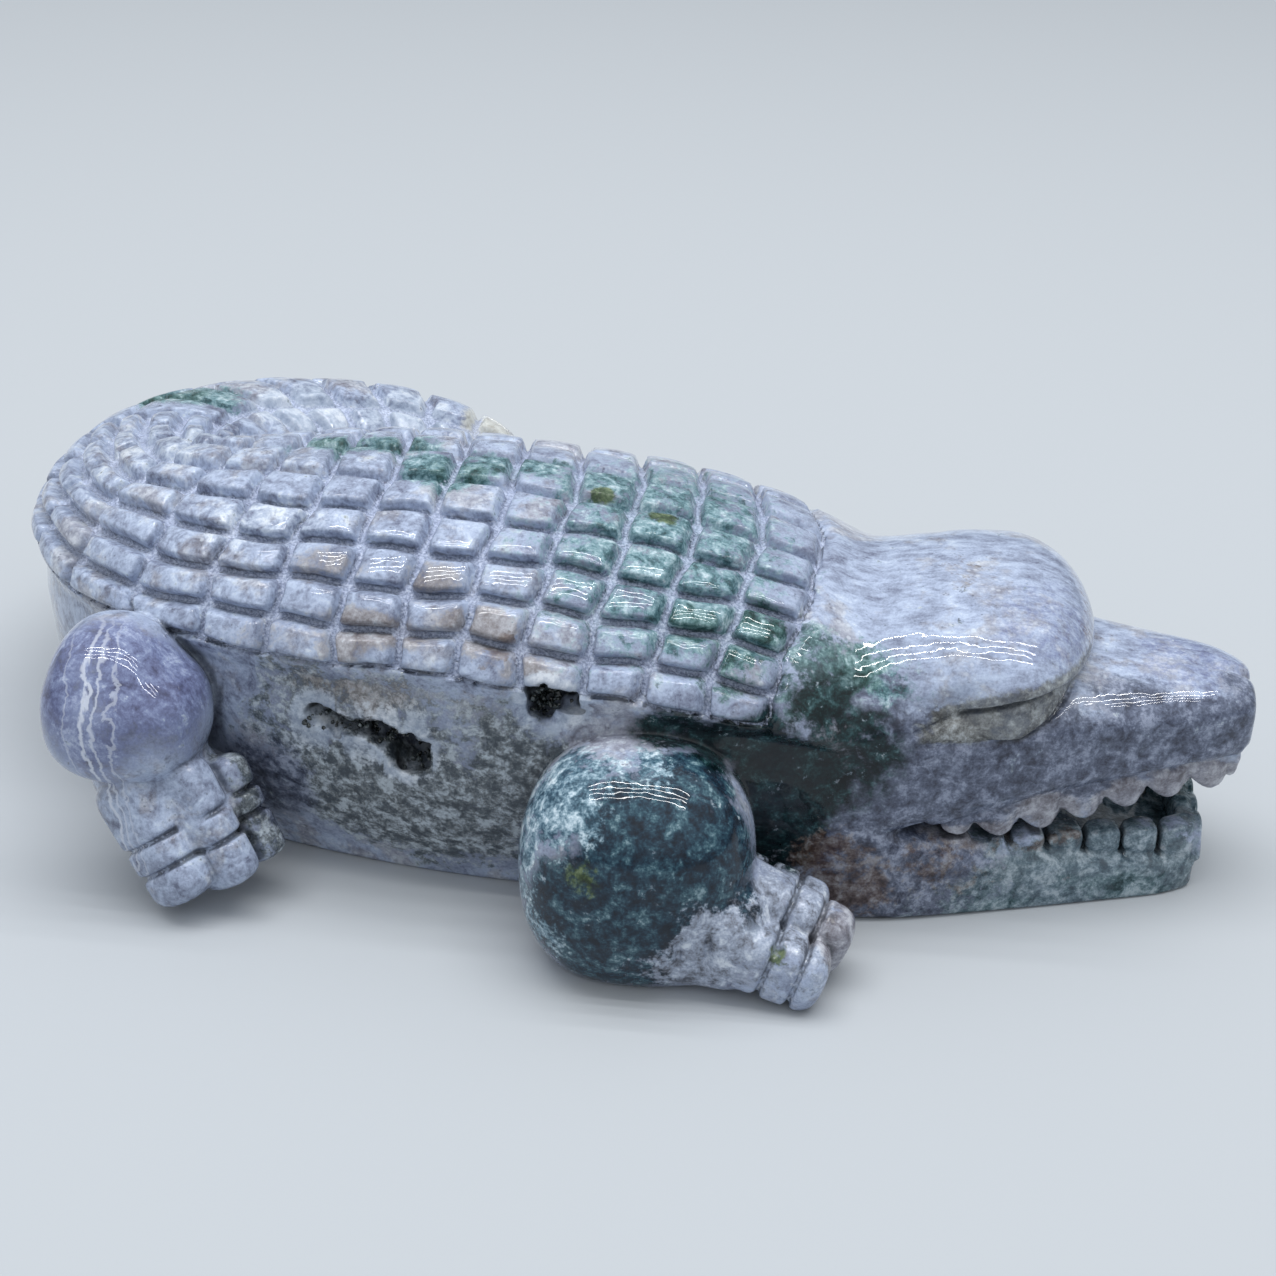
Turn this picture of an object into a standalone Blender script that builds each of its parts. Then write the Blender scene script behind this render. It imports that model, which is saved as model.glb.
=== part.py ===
"""A crocodile carved from one block of ocean jasper, with two crystal-lined pockets in its right flank.

The head points along +X, the crocodile's left side is +Y, and it lies on the plane Z = 0.
The tables hold millimetres, and MM turns them into Blender's metres.
"""

import math
import random

import bmesh
import bpy
from mathutils import Euler, Matrix, Vector

MM = 0.001

# The back: stations from neck to tail tip, each (outer x, outer y, inner x, inner y, height).
# The outer side is the right flank, then the outside of the tail's curl.
BACK_STATIONS = (
    (46.0, -30.0, 46.0, 29.0, 43.0),
    (34.7, -34.0, 34.7, 33.0, 48.4),
    (20.0, -36.3, 20.0, 35.3, 52.8),
    (5.0, -37.3, 5.0, 36.3, 55.6),
    (-14.0, -37.0, -14.0, 37.0, 57.2),
    (-34.0, -34.5, -33.0, 38.5, 56.9),
    (-54.0, -29.5, -46.0, 38.0, 55.2),
    (-73.0, -20.0, -53.5, 34.5, 53.6),
    (-89.0, -5.5, -57.0, 32.0, 51.8),
    (-99.5, 13.0, -58.5, 34.5, 49.8),
    (-103.5, 33.0, -59.0, 38.5, 47.8),
    (-100.0, 54.0, -58.0, 43.5, 45.8),
    (-88.0, 72.5, -55.0, 49.0, 43.6),
    (-70.5, 84.0, -49.0, 55.0, 41.2),
    (-53.0, 88.5, -42.0, 59.5, 38.6),
    (-38.0, 87.5, -33.5, 63.0, 35.2),
    (-28.0, 82.5, -27.5, 67.5, 31.0),
    (-23.5, 77.0, -23.5, 71.5, 27.0),
)
SCUTE_COLUMNS = 11
SCUTE_PITCH = 9.7
TAIL_STARTS_AT_ROW = 14
TAIL_COLUMN_GROUPS = ((0, 1), (2, 3), (4, 5, 6), (7, 8), (9, 10))
SCUTE_HEIGHT = 1.7
SCUTE_GAP = 2.2
SMALLEST_SCUTE = 4.2
ROW_SWEEP = 9.0
WIDEST_SHARE = 0.58
SCUTE_EDGE_ANGLE = 17.0
BACK_ROUNDNESS = 2.2
# The flank under the last scutes: (share of the half width's height, inset from the half width).
FLANK_PROFILE = ((0.64, 3.0), (0.52, 2.3), (0.34, 3.0), (0.17, 5.5), (0.06, 8.5), (-0.05, 10.5))

# Head stations: (x, right edge y, left edge y, underside, top). The snout turns a little to the right.
SKULL_STATIONS = (
    (14.0, -29.0, 29.0, 5.0, 47.0),
    (28.0, -31.0, 30.5, 8.0, 47.0),
    (40.0, -30.8, 29.5, 11.0, 45.4),
    (50.0, -29.4, 27.0, 15.0, 44.6),
    (60.0, -27.0, 22.5, 19.2, 41.5),
    (70.0, -23.8, 17.2, 22.0, 38.4),
    (78.0, -21.0, 13.4, 22.7, 37.4),
    (86.0, -18.4, 10.0, 23.3, 37.0),
    (93.0, -16.4, 7.2, 24.2, 36.8),
    (99.6, -14.4, 4.4, 24.5, 36.2),
    (102.2, -11.2, 1.2, 25.6, 33.8),
)
JAW_STATIONS = (
    (14.0, -28.0, 28.0, -3.0, 30.0),
    (28.0, -30.5, 30.0, -3.0, 26.0),
    (40.0, -31.2, 30.0, -3.0, 20.0),
    (50.0, -29.6, 27.2, -3.0, 15.4),
    (60.0, -26.6, 22.2, -3.0, 13.0),
    (70.0, -23.4, 16.8, -3.0, 10.2),
    (80.0, -20.2, 12.4, -3.0, 7.4),
    (90.0, -17.0, 8.4, -3.0, 5.8),
    (94.6, -15.2, 6.2, -3.0, 5.4),
    (96.8, -12.4, 3.0, -3.0, 4.2),
)
# How square the sections are: (upper half, lower half).
SKULL_SQUARENESS = (2.3, 4.5)
JAW_SQUARENESS = (5.0, 5.0)
HEAD_POINTS = 20

# The brow is one helmet across both eyes: centre, side and upper radii, radius ahead, radius behind.
BROW_HOOD = ((64.0, -2.0, 35.0), (25.6, 14.6), 14.0, 29.0)
BROW_LID = ((63.0, -2.0, 34.0), (24.6, 12.0), 12.6, 17.0)
# The undersides of hood and lid slope up towards the snout through these points (x, z).
HOOD_RIM = (62.5, 37.6)
LID_RIM = (62.5, 32.0)
BROW_SLOPE = 14.0

# Teeth: overlapping plates, seven down each side and three across the front, in both jaws.
SIDE_TEETH = 7
FRONT_TEETH = 3
UPPER_TEETH_FROM_X = 99.2
LOWER_TEETH_FROM_X = 96.2
TEETH_TO_X = 54.0
# Heights of the teeth's tips along the jaws, as (x, z).
UPPER_TIPS = ((54.0, 16.2), (57.0, 14.6), (64.0, 14.1), (76.0, 14.5), (83.0, 15.6), (90.0, 17.2), (100.0, 18.6))
LOWER_TIPS = ((54.0, 15.2), (57.0, 14.0), (64.0, 13.2), (70.0, 12.6), (76.0, 11.8), (83.0, 10.8), (100.0, 10.8))
TOOTH_THICKNESS = 4.6
TOOTH_INSET = 0.9
TOOTH_OVERLAP = 1.3
TOOTH_SPLAY = 18.0
GUM_DEPTH = 1.6
# The lower plates close inside the upper ones: further in and thinner.
LOWER_TOOTH_INSET = 0.4
LOWER_TOOTH_THINNING = 0.9
# Neighbouring plates differ by this much, so that each keeps its own edge.
STAGGER = 0.4

# Legs: dome centre and radii, then each part of the paw as (start, end, radius), on the right side.
FRONT_DOME = ((10.9, -40.5, 15.5), (17.4, 15.4, 19.6))
FRONT_PAW = (
    ((15.0, -44.0, 8.0), (27.0, -45.0, 8.6), 9.0),
    ((21.0, -46.5, 8.4), (35.0, -50.4, 6.2), 7.4),
    ((22.0, -41.0, 11.6), (37.4, -45.2, 7.0), 5.8),
    ((25.0, -35.0, 11.5), (39.0, -38.4, 6.4), 5.2),
)
HIND_DOME = ((-65.6, -30.0, 30.2), (13.8, 12.8, 13.8))
HIND_PAW = (
    ((-66.0, -32.0, 19.0), (-58.0, -36.0, 12.0), 8.2),
    ((-66.5, -36.0, 17.0), (-58.6, -43.6, 6.6), 6.8),
    ((-59.0, -34.5, 19.0), (-51.6, -39.8, 6.8), 5.6),
    ((-52.5, -31.0, 17.0), (-46.6, -34.8, 6.8), 4.8),
)
# The left hind leg sits further forward, in the space inside the curled tail.
LEFT_HIND_SHIFT = (27.0, 11.0, -7.0)
LEFT_HIND_PAW = (
    ((-37.0, 39.0, 8.0), (-27.0, 42.0, 7.0), 7.4),
    ((-33.0, 46.0, 9.0), (-21.0, 49.0, 5.8), 6.0),
    ((-31.0, 41.0, 11.0), (-17.0, 43.0, 6.0), 5.4),
    ((-32.0, 36.0, 11.0), (-16.5, 37.0, 5.8), 5.0),
)

# Crystal pockets: centre, radii, rotation about Y in degrees.
POCKETS = {
    "flank_crystal_crust": ((-29.5, -32.0, 27.8), (10.5, 8.0, 4.9), 14.0),
    "shoulder_crystal_crust": ((-2.0, -34.0, 37.0), (4.4, 8.0, 4.7), 70.0),
}
CRUST_GAP = 0.35
CRUST_THICKNESS = 0.8
CRYSTAL_HEIGHT = 0.9
CRUST_RIM_INSET = 2.6

GROUND_CUTTER = 260.0


def clear_scene():
    for obj in list(bpy.data.objects):
        bpy.data.objects.remove(obj)


def new_collection(name):
    made = bpy.data.collections.new(name)
    bpy.context.scene.collection.children.link(made)
    return made


def stone(name, colour, roughness):
    material = bpy.data.materials.new(name)
    material.use_nodes = True
    shader = material.node_tree.nodes["Principled BSDF"]
    shader.inputs["Base Color"].default_value = (*colour, 1.0)
    shader.inputs["Roughness"].default_value = roughness
    shader.inputs["Metallic"].default_value = 0.0
    return material


def add_object(name, bm, collection, material=None, helper=False):
    """Turns a bmesh that was built in millimetres into an object in metres."""
    bmesh.ops.scale(bm, vec=Vector((MM, MM, MM)), verts=bm.verts)
    bmesh.ops.recalc_face_normals(bm, faces=bm.faces)
    mesh = bpy.data.meshes.new(name)
    bm.to_mesh(mesh)
    bm.free()
    obj = bpy.data.objects.new(name, mesh)
    collection.objects.link(obj)
    if material:
        mesh.materials.append(material)
    if helper:
        obj.hide_render = True
        obj.display_type = "WIRE"
    return obj


def interpolate(table, position):
    """A row of the table at a fractional row number, on a Catmull-Rom spline."""
    last = len(table) - 1
    i = min(int(max(position, 0)), last - 1)
    t = position - i
    rows = [table[min(max(i + k, 0), last)] for k in (-1, 0, 1, 2)]
    return [
        0.5 * (2 * b + (c - a) * t + (2 * a - 5 * b + 4 * c - d) * t * t + (3 * b - a - 3 * c + d) * t**3)
        for a, b, c, d in zip(*rows)
    ]


def value_at_x(table, x, column):
    """A head table's value at x, between its nearest stations."""
    for low, high in zip(table, table[1:]):
        if low[0] <= x <= high[0]:
            share = (x - low[0]) / (high[0] - low[0])
            return low[column] + share * (high[column] - low[column])
    return table[-1][column]


def loft(bm, rings):
    """Skins a closed solid over rings of equally many points, with both ends capped."""
    skins = [[bm.verts.new(point) for point in ring] for ring in rings]
    count = len(rings[0])
    strips = []
    for first, second in zip(skins, skins[1:]):
        strips.append(
            [
                bm.faces.new((first[k], first[(k + 1) % count], second[(k + 1) % count], second[k]))
                for k in range(count)
            ]
        )
    bm.faces.new(reversed(skins[0]))
    bm.faces.new(skins[-1])
    return strips


def row_positions():
    """Fractional station numbers of the grooves across the back, one scute pitch apart."""
    samples = [i / 40 for i in range(40, 40 * (len(BACK_STATIONS) - 1) + 1)]
    found = [0.0, 1.0]
    walked = 0.0
    before = None
    for position in samples:
        ox, oy, ix, iy, _ = interpolate(BACK_STATIONS, position)
        centre = Vector(((ox + ix) / 2, (oy + iy) / 2))
        if before is not None:
            walked += (centre - before).length
        before = centre
        if walked >= SCUTE_PITCH:
            found.append(position)
            walked -= SCUTE_PITCH
    found.append(float(len(BACK_STATIONS) - 1))
    return found


def back_ring(position):
    """One ring of the back: a loaf section with a flat bottom, swept back towards its sides."""
    ox, oy, ix, iy, height = interpolate(BACK_STATIONS, position)
    outer, inner = Vector((ox, oy)), Vector((ix, iy))
    centre, half = (outer + inner) / 2, (inner - outer).length / 2
    across = (inner - outer).normalized()
    along = Vector((-across.y, across.x))
    widest = height * WIDEST_SHARE
    sweep = ROW_SWEEP * max(0.0, 1 - position / 7)
    ring = []

    def add(offset, z):
        swept = centre + across * offset + along * sweep * min(1, abs(offset) / half) ** 2
        ring.append(Vector((swept.x, swept.y, z)))

    for column in range(SCUTE_COLUMNS + 1):
        angle = math.radians(SCUTE_EDGE_ANGLE + (180 - 2 * SCUTE_EDGE_ANGLE) * column / SCUTE_COLUMNS)
        cosine, sine = math.cos(angle), math.sin(angle)
        offset = -half * math.copysign(abs(cosine) ** (2 / BACK_ROUNDNESS), cosine)
        add(offset, widest + (height - widest) * sine)
    for side in (1, -1):
        profile = FLANK_PROFILE if side > 0 else reversed(FLANK_PROFILE)
        for share, inset in profile:
            add(side * max(half - inset * min(1, half / 30), half * 0.4), share * height)
    return ring


def scute_groups(row):
    """The columns of each scute in this row: single ones on the body, wider ones on the tail."""
    if row < TAIL_STARTS_AT_ROW:
        return tuple((column,) for column in range(SCUTE_COLUMNS))
    return TAIL_COLUMN_GROUPS


def make_back(collection, material):
    bm = bmesh.new()
    strips = loft(bm, [back_ring(position) for position in row_positions()])
    for row, strip in enumerate(strips[1:-1]):
        for columns in scute_groups(row):
            faces = [strip[column] for column in columns]
            sides = {edge for face in faces for edge in face.edges}
            if min(edge.calc_length() for edge in sides) < SMALLEST_SCUTE * len(columns) ** -0.5:
                continue
            bmesh.ops.inset_region(
                bm, faces=faces, thickness=SCUTE_GAP / 2, depth=SCUTE_HEIGHT, use_even_offset=True
            )
    return add_object("crocodile", bm, collection, material)


def head_ring(station, squareness):
    """A rounded-box ring across the head, rounder above than below."""
    x, right, left, low, top = station
    upper, lower = squareness
    centre, half = (left + right) / 2, (left - right) / 2
    middle, rise = (low + top) / 2, (top - low) / 2
    ring = []
    for k in range(HEAD_POINTS):
        angle = 2 * math.pi * (k + 0.5) / HEAD_POINTS
        power = 2 / (upper if math.sin(angle) > 0 else lower)
        y = centre + half * math.copysign(abs(math.cos(angle)) ** power, math.cos(angle))
        z = middle + rise * math.copysign(abs(math.sin(angle)) ** power, math.sin(angle))
        ring.append(Vector((x, y, z)))
    return ring


def make_head_loft(name, stations, squareness, collection):
    bm = bmesh.new()
    loft(bm, [head_ring(station, squareness) for station in stations])
    return add_object(name, bm, collection, helper=True)


def ellipsoid(bm, centre, radii, around=16, rings=10):
    matrix = Matrix.Translation(centre) @ Matrix.Diagonal((*radii, 1.0))
    return bmesh.ops.create_uvsphere(bm, u_segments=around, v_segments=rings, radius=1.0, matrix=matrix)


def make_brow(name, form, rim, collection):
    """The hood or the lid: an egg-shaped cap across the head whose underside is one sloping cut."""
    centre, (side_radius, upper_radius), ahead, behind = form
    bm = bmesh.new()
    made = bmesh.ops.create_uvsphere(bm, u_segments=24, v_segments=14, radius=1.0)
    for vert in made["verts"]:
        vert.co.x *= ahead if vert.co.x > 0 else behind
        vert.co.y *= side_radius
        vert.co.z *= upper_radius
        vert.co += Vector(centre)
    slope = math.radians(BROW_SLOPE)
    made = bmesh.ops.bisect_plane(
        bm,
        geom=bm.verts[:] + bm.edges[:] + bm.faces[:],
        plane_co=(rim[0], 0.0, rim[1]),
        plane_no=(math.sin(slope), 0.0, -math.cos(slope)),
        clear_outer=True,
    )
    bmesh.ops.holes_fill(bm, edges=[e for e in made["geom_cut"] if isinstance(e, bmesh.types.BMEdge)])
    return add_object(name, bm, collection, helper=True)


def capsule(bm, start, end, radius, around=10, rings=8):
    """A ball drawn out from start to end."""
    start, end = Vector(start), Vector(end)
    turn = (end - start).to_track_quat("Z", "Y").to_matrix().to_4x4()
    made = bmesh.ops.create_uvsphere(bm, u_segments=around, v_segments=rings, radius=radius)
    for vert in made["verts"]:
        if vert.co.z > radius * 0.01:
            vert.co.z += (end - start).length
    bmesh.ops.transform(bm, matrix=Matrix.Translation(start) @ turn, verts=made["verts"])


def make_leg(name, centre, radii, paw, flip, collection):
    """A dome for the leg, and a paw of one thick palm with three toes."""
    bm = bmesh.new()
    ellipsoid(bm, Vector(centre) * flip, radii)
    add_object(f"{name}_leg", bm, collection, helper=True)
    for k, (start, end, radius) in enumerate(paw):
        bm = bmesh.new()
        capsule(bm, Vector(start) * flip, Vector(end) * flip, radius)
        add_object(f"{name}_paw_{k}", bm, collection, helper=True)


def make_legs(collection):
    """The right legs, the left front leg as their mirror, and the left hind leg further forward."""
    same, mirrored = Vector((1, 1, 1)), Vector((1, -1, 1))
    make_leg("right_front", *FRONT_DOME, FRONT_PAW, same, collection)
    make_leg("left_front", *FRONT_DOME, FRONT_PAW, mirrored, collection)
    make_leg("right_hind", *HIND_DOME, HIND_PAW, same, collection)
    centre, radii = HIND_DOME
    left_centre = Vector(centre) * mirrored + Vector(LEFT_HIND_SHIFT)
    make_leg("left_hind", left_centre, radii, LEFT_HIND_PAW, same, collection)


def tooth_places(from_x, further_in=0.0):
    """Each tooth as (x, y, turn about Z, length)."""
    length = (from_x - TEETH_TO_X) / SIDE_TEETH
    inset = TOOTH_INSET + TOOTH_THICKNESS / 2 + further_in
    for side in (-1, 1):
        for k in range(SIDE_TEETH):
            x = from_x - (k + 0.5) * length
            edge = value_at_x(SKULL_STATIONS, x, 1 if side < 0 else 2)
            yield x, edge - side * inset, -side * math.radians(TOOTH_SPLAY), length
    right = value_at_x(SKULL_STATIONS, from_x, 1)
    left = value_at_x(SKULL_STATIONS, from_x, 2)
    width = (left - right) / (FRONT_TEETH + 1)
    for k in range(FRONT_TEETH):
        yield from_x - 0.6 - further_in, right + (k + 1) * width, math.radians(90), width * 1.1


def tooth_plate(bm, place, root, tip, thickness):
    """A five-sided plate from the root height to a blunt point at the tip height."""
    x, y, turn, length = place
    half = length / 2 * TOOTH_OVERLAP
    shoulder = root + (tip - root) * 0.62
    outline = ((-half, root), (half, root), (half, shoulder), (half * 0.25, tip), (-half, shoulder))
    matrix = Matrix.Translation((x, y, 0.0)) @ Matrix.Rotation(turn, 4, "Z")
    sides = [
        [bm.verts.new(matrix @ Vector((along, across, z))) for along, z in outline]
        for across in (-thickness / 2, thickness / 2)
    ]
    bm.faces.new(sides[0])
    bm.faces.new(reversed(sides[1]))
    for k in range(len(outline)):
        n = (k + 1) % len(outline)
        bm.faces.new((sides[0][k], sides[0][n], sides[1][n], sides[1][k]))


def make_teeth(collection):
    for k, place in enumerate(tooth_places(UPPER_TEETH_FROM_X)):
        root = value_at_x(SKULL_STATIONS, place[0], 3) + GUM_DEPTH
        tip = value_at_x(UPPER_TIPS, place[0], 1)
        bm = bmesh.new()
        tooth_plate(bm, place, root, tip, TOOTH_THICKNESS + STAGGER * (k % 2))
        add_object(f"upper_tooth_{k + 1}", bm, collection, helper=True)
    for k, place in enumerate(tooth_places(LOWER_TEETH_FROM_X, LOWER_TOOTH_INSET)):
        top = value_at_x(LOWER_TIPS, place[0], 1) - STAGGER * (k % 2)
        bottom = value_at_x(JAW_STATIONS, place[0], 4) - GUM_DEPTH
        thickness = TOOTH_THICKNESS - LOWER_TOOTH_THINNING + STAGGER * (k % 2)
        bm = bmesh.new()
        tooth_plate(bm, place, top, bottom, thickness)
        add_object(f"lower_tooth_{k + 1}", bm, collection, helper=True)


def pocket_matrix(centre, radii, tilt, shrink=0.0):
    scaled = [radius - shrink for radius in radii]
    turn = Euler((0.0, math.radians(tilt), 0.0)).to_matrix().to_4x4()
    return Matrix.Translation(centre) @ turn @ Matrix.Diagonal((*scaled, 1.0))


def make_pocket_cutter(name, pocket, collection):
    bm = bmesh.new()
    bmesh.ops.create_icosphere(bm, subdivisions=2, radius=1.0, matrix=pocket_matrix(*pocket))
    return add_object(name, bm, collection, helper=True)


def make_crust(name, pocket, collection, material):
    """The druse that lines a pocket: a bowl with a pyramid on each inner face."""
    shaker = random.Random(name)
    mouth_y = pocket[0][1] - 1.0
    bm = bmesh.new()
    bmesh.ops.create_icosphere(bm, subdivisions=2, radius=1.0, matrix=pocket_matrix(*pocket, CRUST_GAP))
    bmesh.ops.bisect_plane(
        bm,
        geom=bm.verts[:] + bm.edges[:] + bm.faces[:],
        plane_co=(0.0, mouth_y + CRUST_RIM_INSET, 0.0),
        plane_no=(0.0, -1.0, 0.0),
        clear_outer=True,
    )
    bmesh.ops.recalc_face_normals(bm, faces=bm.faces)
    wall = bm.faces[:]
    made = bmesh.ops.solidify(bm, geom=wall, thickness=CRUST_THICKNESS)
    inner = [f for f in made["geom"] if isinstance(f, bmesh.types.BMFace) and f not in wall]
    lining = [f for f in inner if len(f.verts) == 3 and f.calc_area() > 0.2]
    bmesh.ops.recalc_face_normals(bm, faces=bm.faces)
    for face in lining:
        height = CRYSTAL_HEIGHT * shaker.uniform(0.35, 1.0)
        bmesh.ops.poke(bm, faces=[face], offset=height)
    return add_object(name, bm, collection, material)


def join_with(target, collection, operation):
    modifier = target.modifiers.new(operation.title(), "BOOLEAN")
    modifier.operation = operation
    modifier.operand_type = "COLLECTION"
    modifier.collection = collection
    modifier.solver = "EXACT"


def main():
    clear_scene()
    parts = new_collection("jasper_crocodile")
    forms = new_collection("joined_forms")
    cutters = new_collection("cutters")
    jasper = stone("ocean_jasper", (0.42, 0.43, 0.52), 0.18)
    druse = stone("quartz_druse", (0.16, 0.15, 0.17), 0.25)

    crocodile = make_back(parts, jasper)
    make_head_loft("skull", SKULL_STATIONS, SKULL_SQUARENESS, forms)
    make_head_loft("lower_jaw", JAW_STATIONS, JAW_SQUARENESS, forms)
    make_brow("brow_hood", BROW_HOOD, HOOD_RIM, forms)
    make_brow("brow_lid", BROW_LID, LID_RIM, forms)
    make_teeth(forms)
    make_legs(forms)

    ground = bmesh.new()
    bmesh.ops.create_cube(ground, size=GROUND_CUTTER, matrix=Matrix.Translation((0, 0, -GROUND_CUTTER / 2)))
    add_object("ground_cutter", ground, cutters, helper=True)
    for name, pocket in POCKETS.items():
        make_pocket_cutter(f"{name}_cutter", pocket, cutters)
        make_crust(name, pocket, parts, druse)

    join_with(crocodile, forms, "UNION")
    join_with(crocodile, cutters, "DIFFERENCE")


main()
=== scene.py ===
"""Looks of the carved ocean jasper crocodile: its fine surface, its stone and the druse in its pockets.

The carving is described as a field over space, in millimetres, that is below zero inside the stone.
Forms are joined and cut in that field, one surface is drawn from it, and MM turns it into metres.
The head points along +X, the crocodile's left side is +Y, and it lies on the plane Z = 0.
"""

import itertools
import math
import random

import bpy
import numpy as np
from mathutils import Matrix, Vector


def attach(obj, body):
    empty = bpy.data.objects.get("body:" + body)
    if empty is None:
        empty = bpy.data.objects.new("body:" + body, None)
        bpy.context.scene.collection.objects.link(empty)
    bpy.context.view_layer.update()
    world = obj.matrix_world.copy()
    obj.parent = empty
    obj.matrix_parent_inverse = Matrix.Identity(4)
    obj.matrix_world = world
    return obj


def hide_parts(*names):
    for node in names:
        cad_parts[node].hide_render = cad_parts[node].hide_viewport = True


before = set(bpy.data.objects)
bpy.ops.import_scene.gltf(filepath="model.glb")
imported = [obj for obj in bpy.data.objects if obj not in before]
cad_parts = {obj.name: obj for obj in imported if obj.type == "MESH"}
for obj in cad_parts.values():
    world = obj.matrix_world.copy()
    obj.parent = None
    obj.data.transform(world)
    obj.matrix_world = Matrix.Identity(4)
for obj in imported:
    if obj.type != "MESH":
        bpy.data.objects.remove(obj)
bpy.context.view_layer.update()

MM = 0.001

# Fineness of the field and of the finished surface.
VOXEL = 0.45
TRIANGLE_BUDGET = 194_000
FAR = 9.0
LEAST_STEEPNESS = 0.02
GRID_LOW = (-106.5, -60.0, -2.0)
GRID_HIGH = (103.5, 91.5, 61.0)

# The back: stations from neck to tail tip, each (outer x, outer y, inner x, inner y, height).
BACK_STATIONS = np.array(
    (
        (46.0, -30.0, 46.0, 29.0, 43.0),
        (34.7, -34.0, 34.7, 33.0, 48.4),
        (20.0, -36.3, 20.0, 35.3, 52.8),
        (5.0, -37.3, 5.0, 36.3, 55.6),
        (-14.0, -37.0, -14.0, 37.0, 57.2),
        (-34.0, -34.5, -33.0, 38.5, 56.9),
        (-54.0, -29.5, -46.0, 38.0, 55.2),
        (-73.0, -20.0, -53.5, 34.5, 53.6),
        (-89.0, -5.5, -57.0, 32.0, 51.8),
        (-99.5, 13.0, -58.5, 34.5, 49.8),
        (-103.5, 33.0, -59.0, 38.5, 47.8),
        (-100.0, 54.0, -58.0, 43.5, 45.8),
        (-88.0, 72.5, -55.0, 49.0, 43.6),
        (-70.5, 84.0, -49.0, 55.0, 41.2),
        (-53.0, 88.5, -42.0, 59.5, 38.6),
        (-38.0, 87.5, -33.5, 63.0, 35.2),
        (-28.0, 82.5, -27.5, 67.5, 31.0),
        (-23.5, 77.0, -23.5, 71.5, 27.0),
    )
)
NECK_END_X = 46.0
TAIL_END_X = -23.5
WIDEST_SHARE = 0.58
SCUTE_EDGE_ANGLE = math.radians(17.0)
BACK_ROUNDNESS = 2.2
# The flank under the last scutes: (share of the height, inset from the half width).
FLANK_SHARES = (-0.05, 0.06, 0.17, 0.34, 0.52, 0.64)
FLANK_INSETS = (10.5, 8.5, 5.5, 3.0, 2.3, 3.0)

# Scutes: eleven columns on the trunk, wider groups of them on the tail.
SCUTE_COLUMNS = 11
SCUTE_PITCH = 9.7
SCUTE_HEIGHT = 1.55
GROOVE_DEPTH = 1.15
TAIL_STARTS_AT_ROW = 14
TAIL_COLUMN_EDGES = (0, 2, 4, 7, 9, 11)
ROW_SWEEP = 9.0
GROOVE_HALF_WIDTH = 0.16
SCUTE_BEVEL = 1.15
SCUTE_CORNER = 1.3
NECK_RISE = 0.8

# Head stations: (x, right edge y, left edge y, underside, top). The snout turns a little to the right.
SKULL_STATIONS = np.array(
    (
        (14.0, -29.0, 29.0, 5.0, 47.0),
        (28.0, -31.0, 30.5, 8.0, 47.0),
        (40.0, -30.8, 29.5, 11.0, 45.4),
        (50.0, -29.4, 27.0, 15.0, 44.6),
        (60.0, -27.0, 22.5, 18.0, 41.5),
        (70.0, -23.8, 17.2, 20.3, 38.4),
        (78.0, -21.0, 13.4, 21.6, 37.4),
        (86.0, -18.4, 10.0, 22.6, 37.0),
        (93.0, -16.4, 7.2, 23.8, 36.8),
        (99.6, -14.4, 4.4, 24.5, 36.2),
        (102.2, -11.2, 1.2, 25.6, 33.8),
    )
)
JAW_STATIONS = np.array(
    (
        (14.0, -28.0, 28.0, -3.0, 30.0),
        (28.0, -30.5, 30.0, -3.0, 26.0),
        (40.0, -31.2, 30.0, -3.0, 20.0),
        (50.0, -29.6, 27.2, -3.0, 15.4),
        (60.0, -26.6, 22.2, -3.0, 13.0),
        (70.0, -23.4, 16.8, -3.0, 10.2),
        (80.0, -20.2, 12.4, -3.0, 8.1),
        (90.0, -17.0, 8.4, -3.0, 6.6),
        (94.6, -15.2, 6.2, -3.0, 6.0),
        (96.8, -12.4, 3.0, -3.0, 4.2),
    )
)
SKULL_SQUARENESS = (2.5, 9.0)
JAW_SQUARENESS = (8.0, 5.0)

# The brow is one helmet across both eyes: centre, side and upper radii, radius ahead, radius behind.
BROW_HOOD = ((64.0, -2.0, 36.0), (26.0, 12.6), 13.8, 23.0)
BROW_LID = ((63.0, -2.0, 34.0), (24.9, 11.0), 12.6, 19.0)
BROW_SQUARENESS = 2.5
RIM_SLOPE = 0.95
# Heights of the undersides of hood and lid along the head, as (x, z).
HOOD_RIM = ((44.0, 30.6), (50.0, 33.2), (57.0, 36.0), (64.5, 38.5), (70.0, 39.3), (80.0, 39.3))
LID_RIM = ((44.0, 31.8), (50.0, 31.4), (58.0, 31.3), (65.6, 31.8), (70.0, 34.0), (74.5, 37.2), (80.0, 39.0))

# Creases along those rims: (width, depth), and how far aside of the brow's middle they start.
HOOD_CREASE = (0.55, 0.8)
LID_CREASE = (0.5, 0.6)
CREASES_FROM_ASIDE = 16.0

# Teeth: overlapping plates, seven down each side and three across the front, in both jaws.
SIDE_TEETH = 7
FRONT_TEETH = 3
UPPER_TEETH_FROM_X = 99.2
LOWER_TEETH_FROM_X = 96.2
TEETH_TO_X = 54.0
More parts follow.
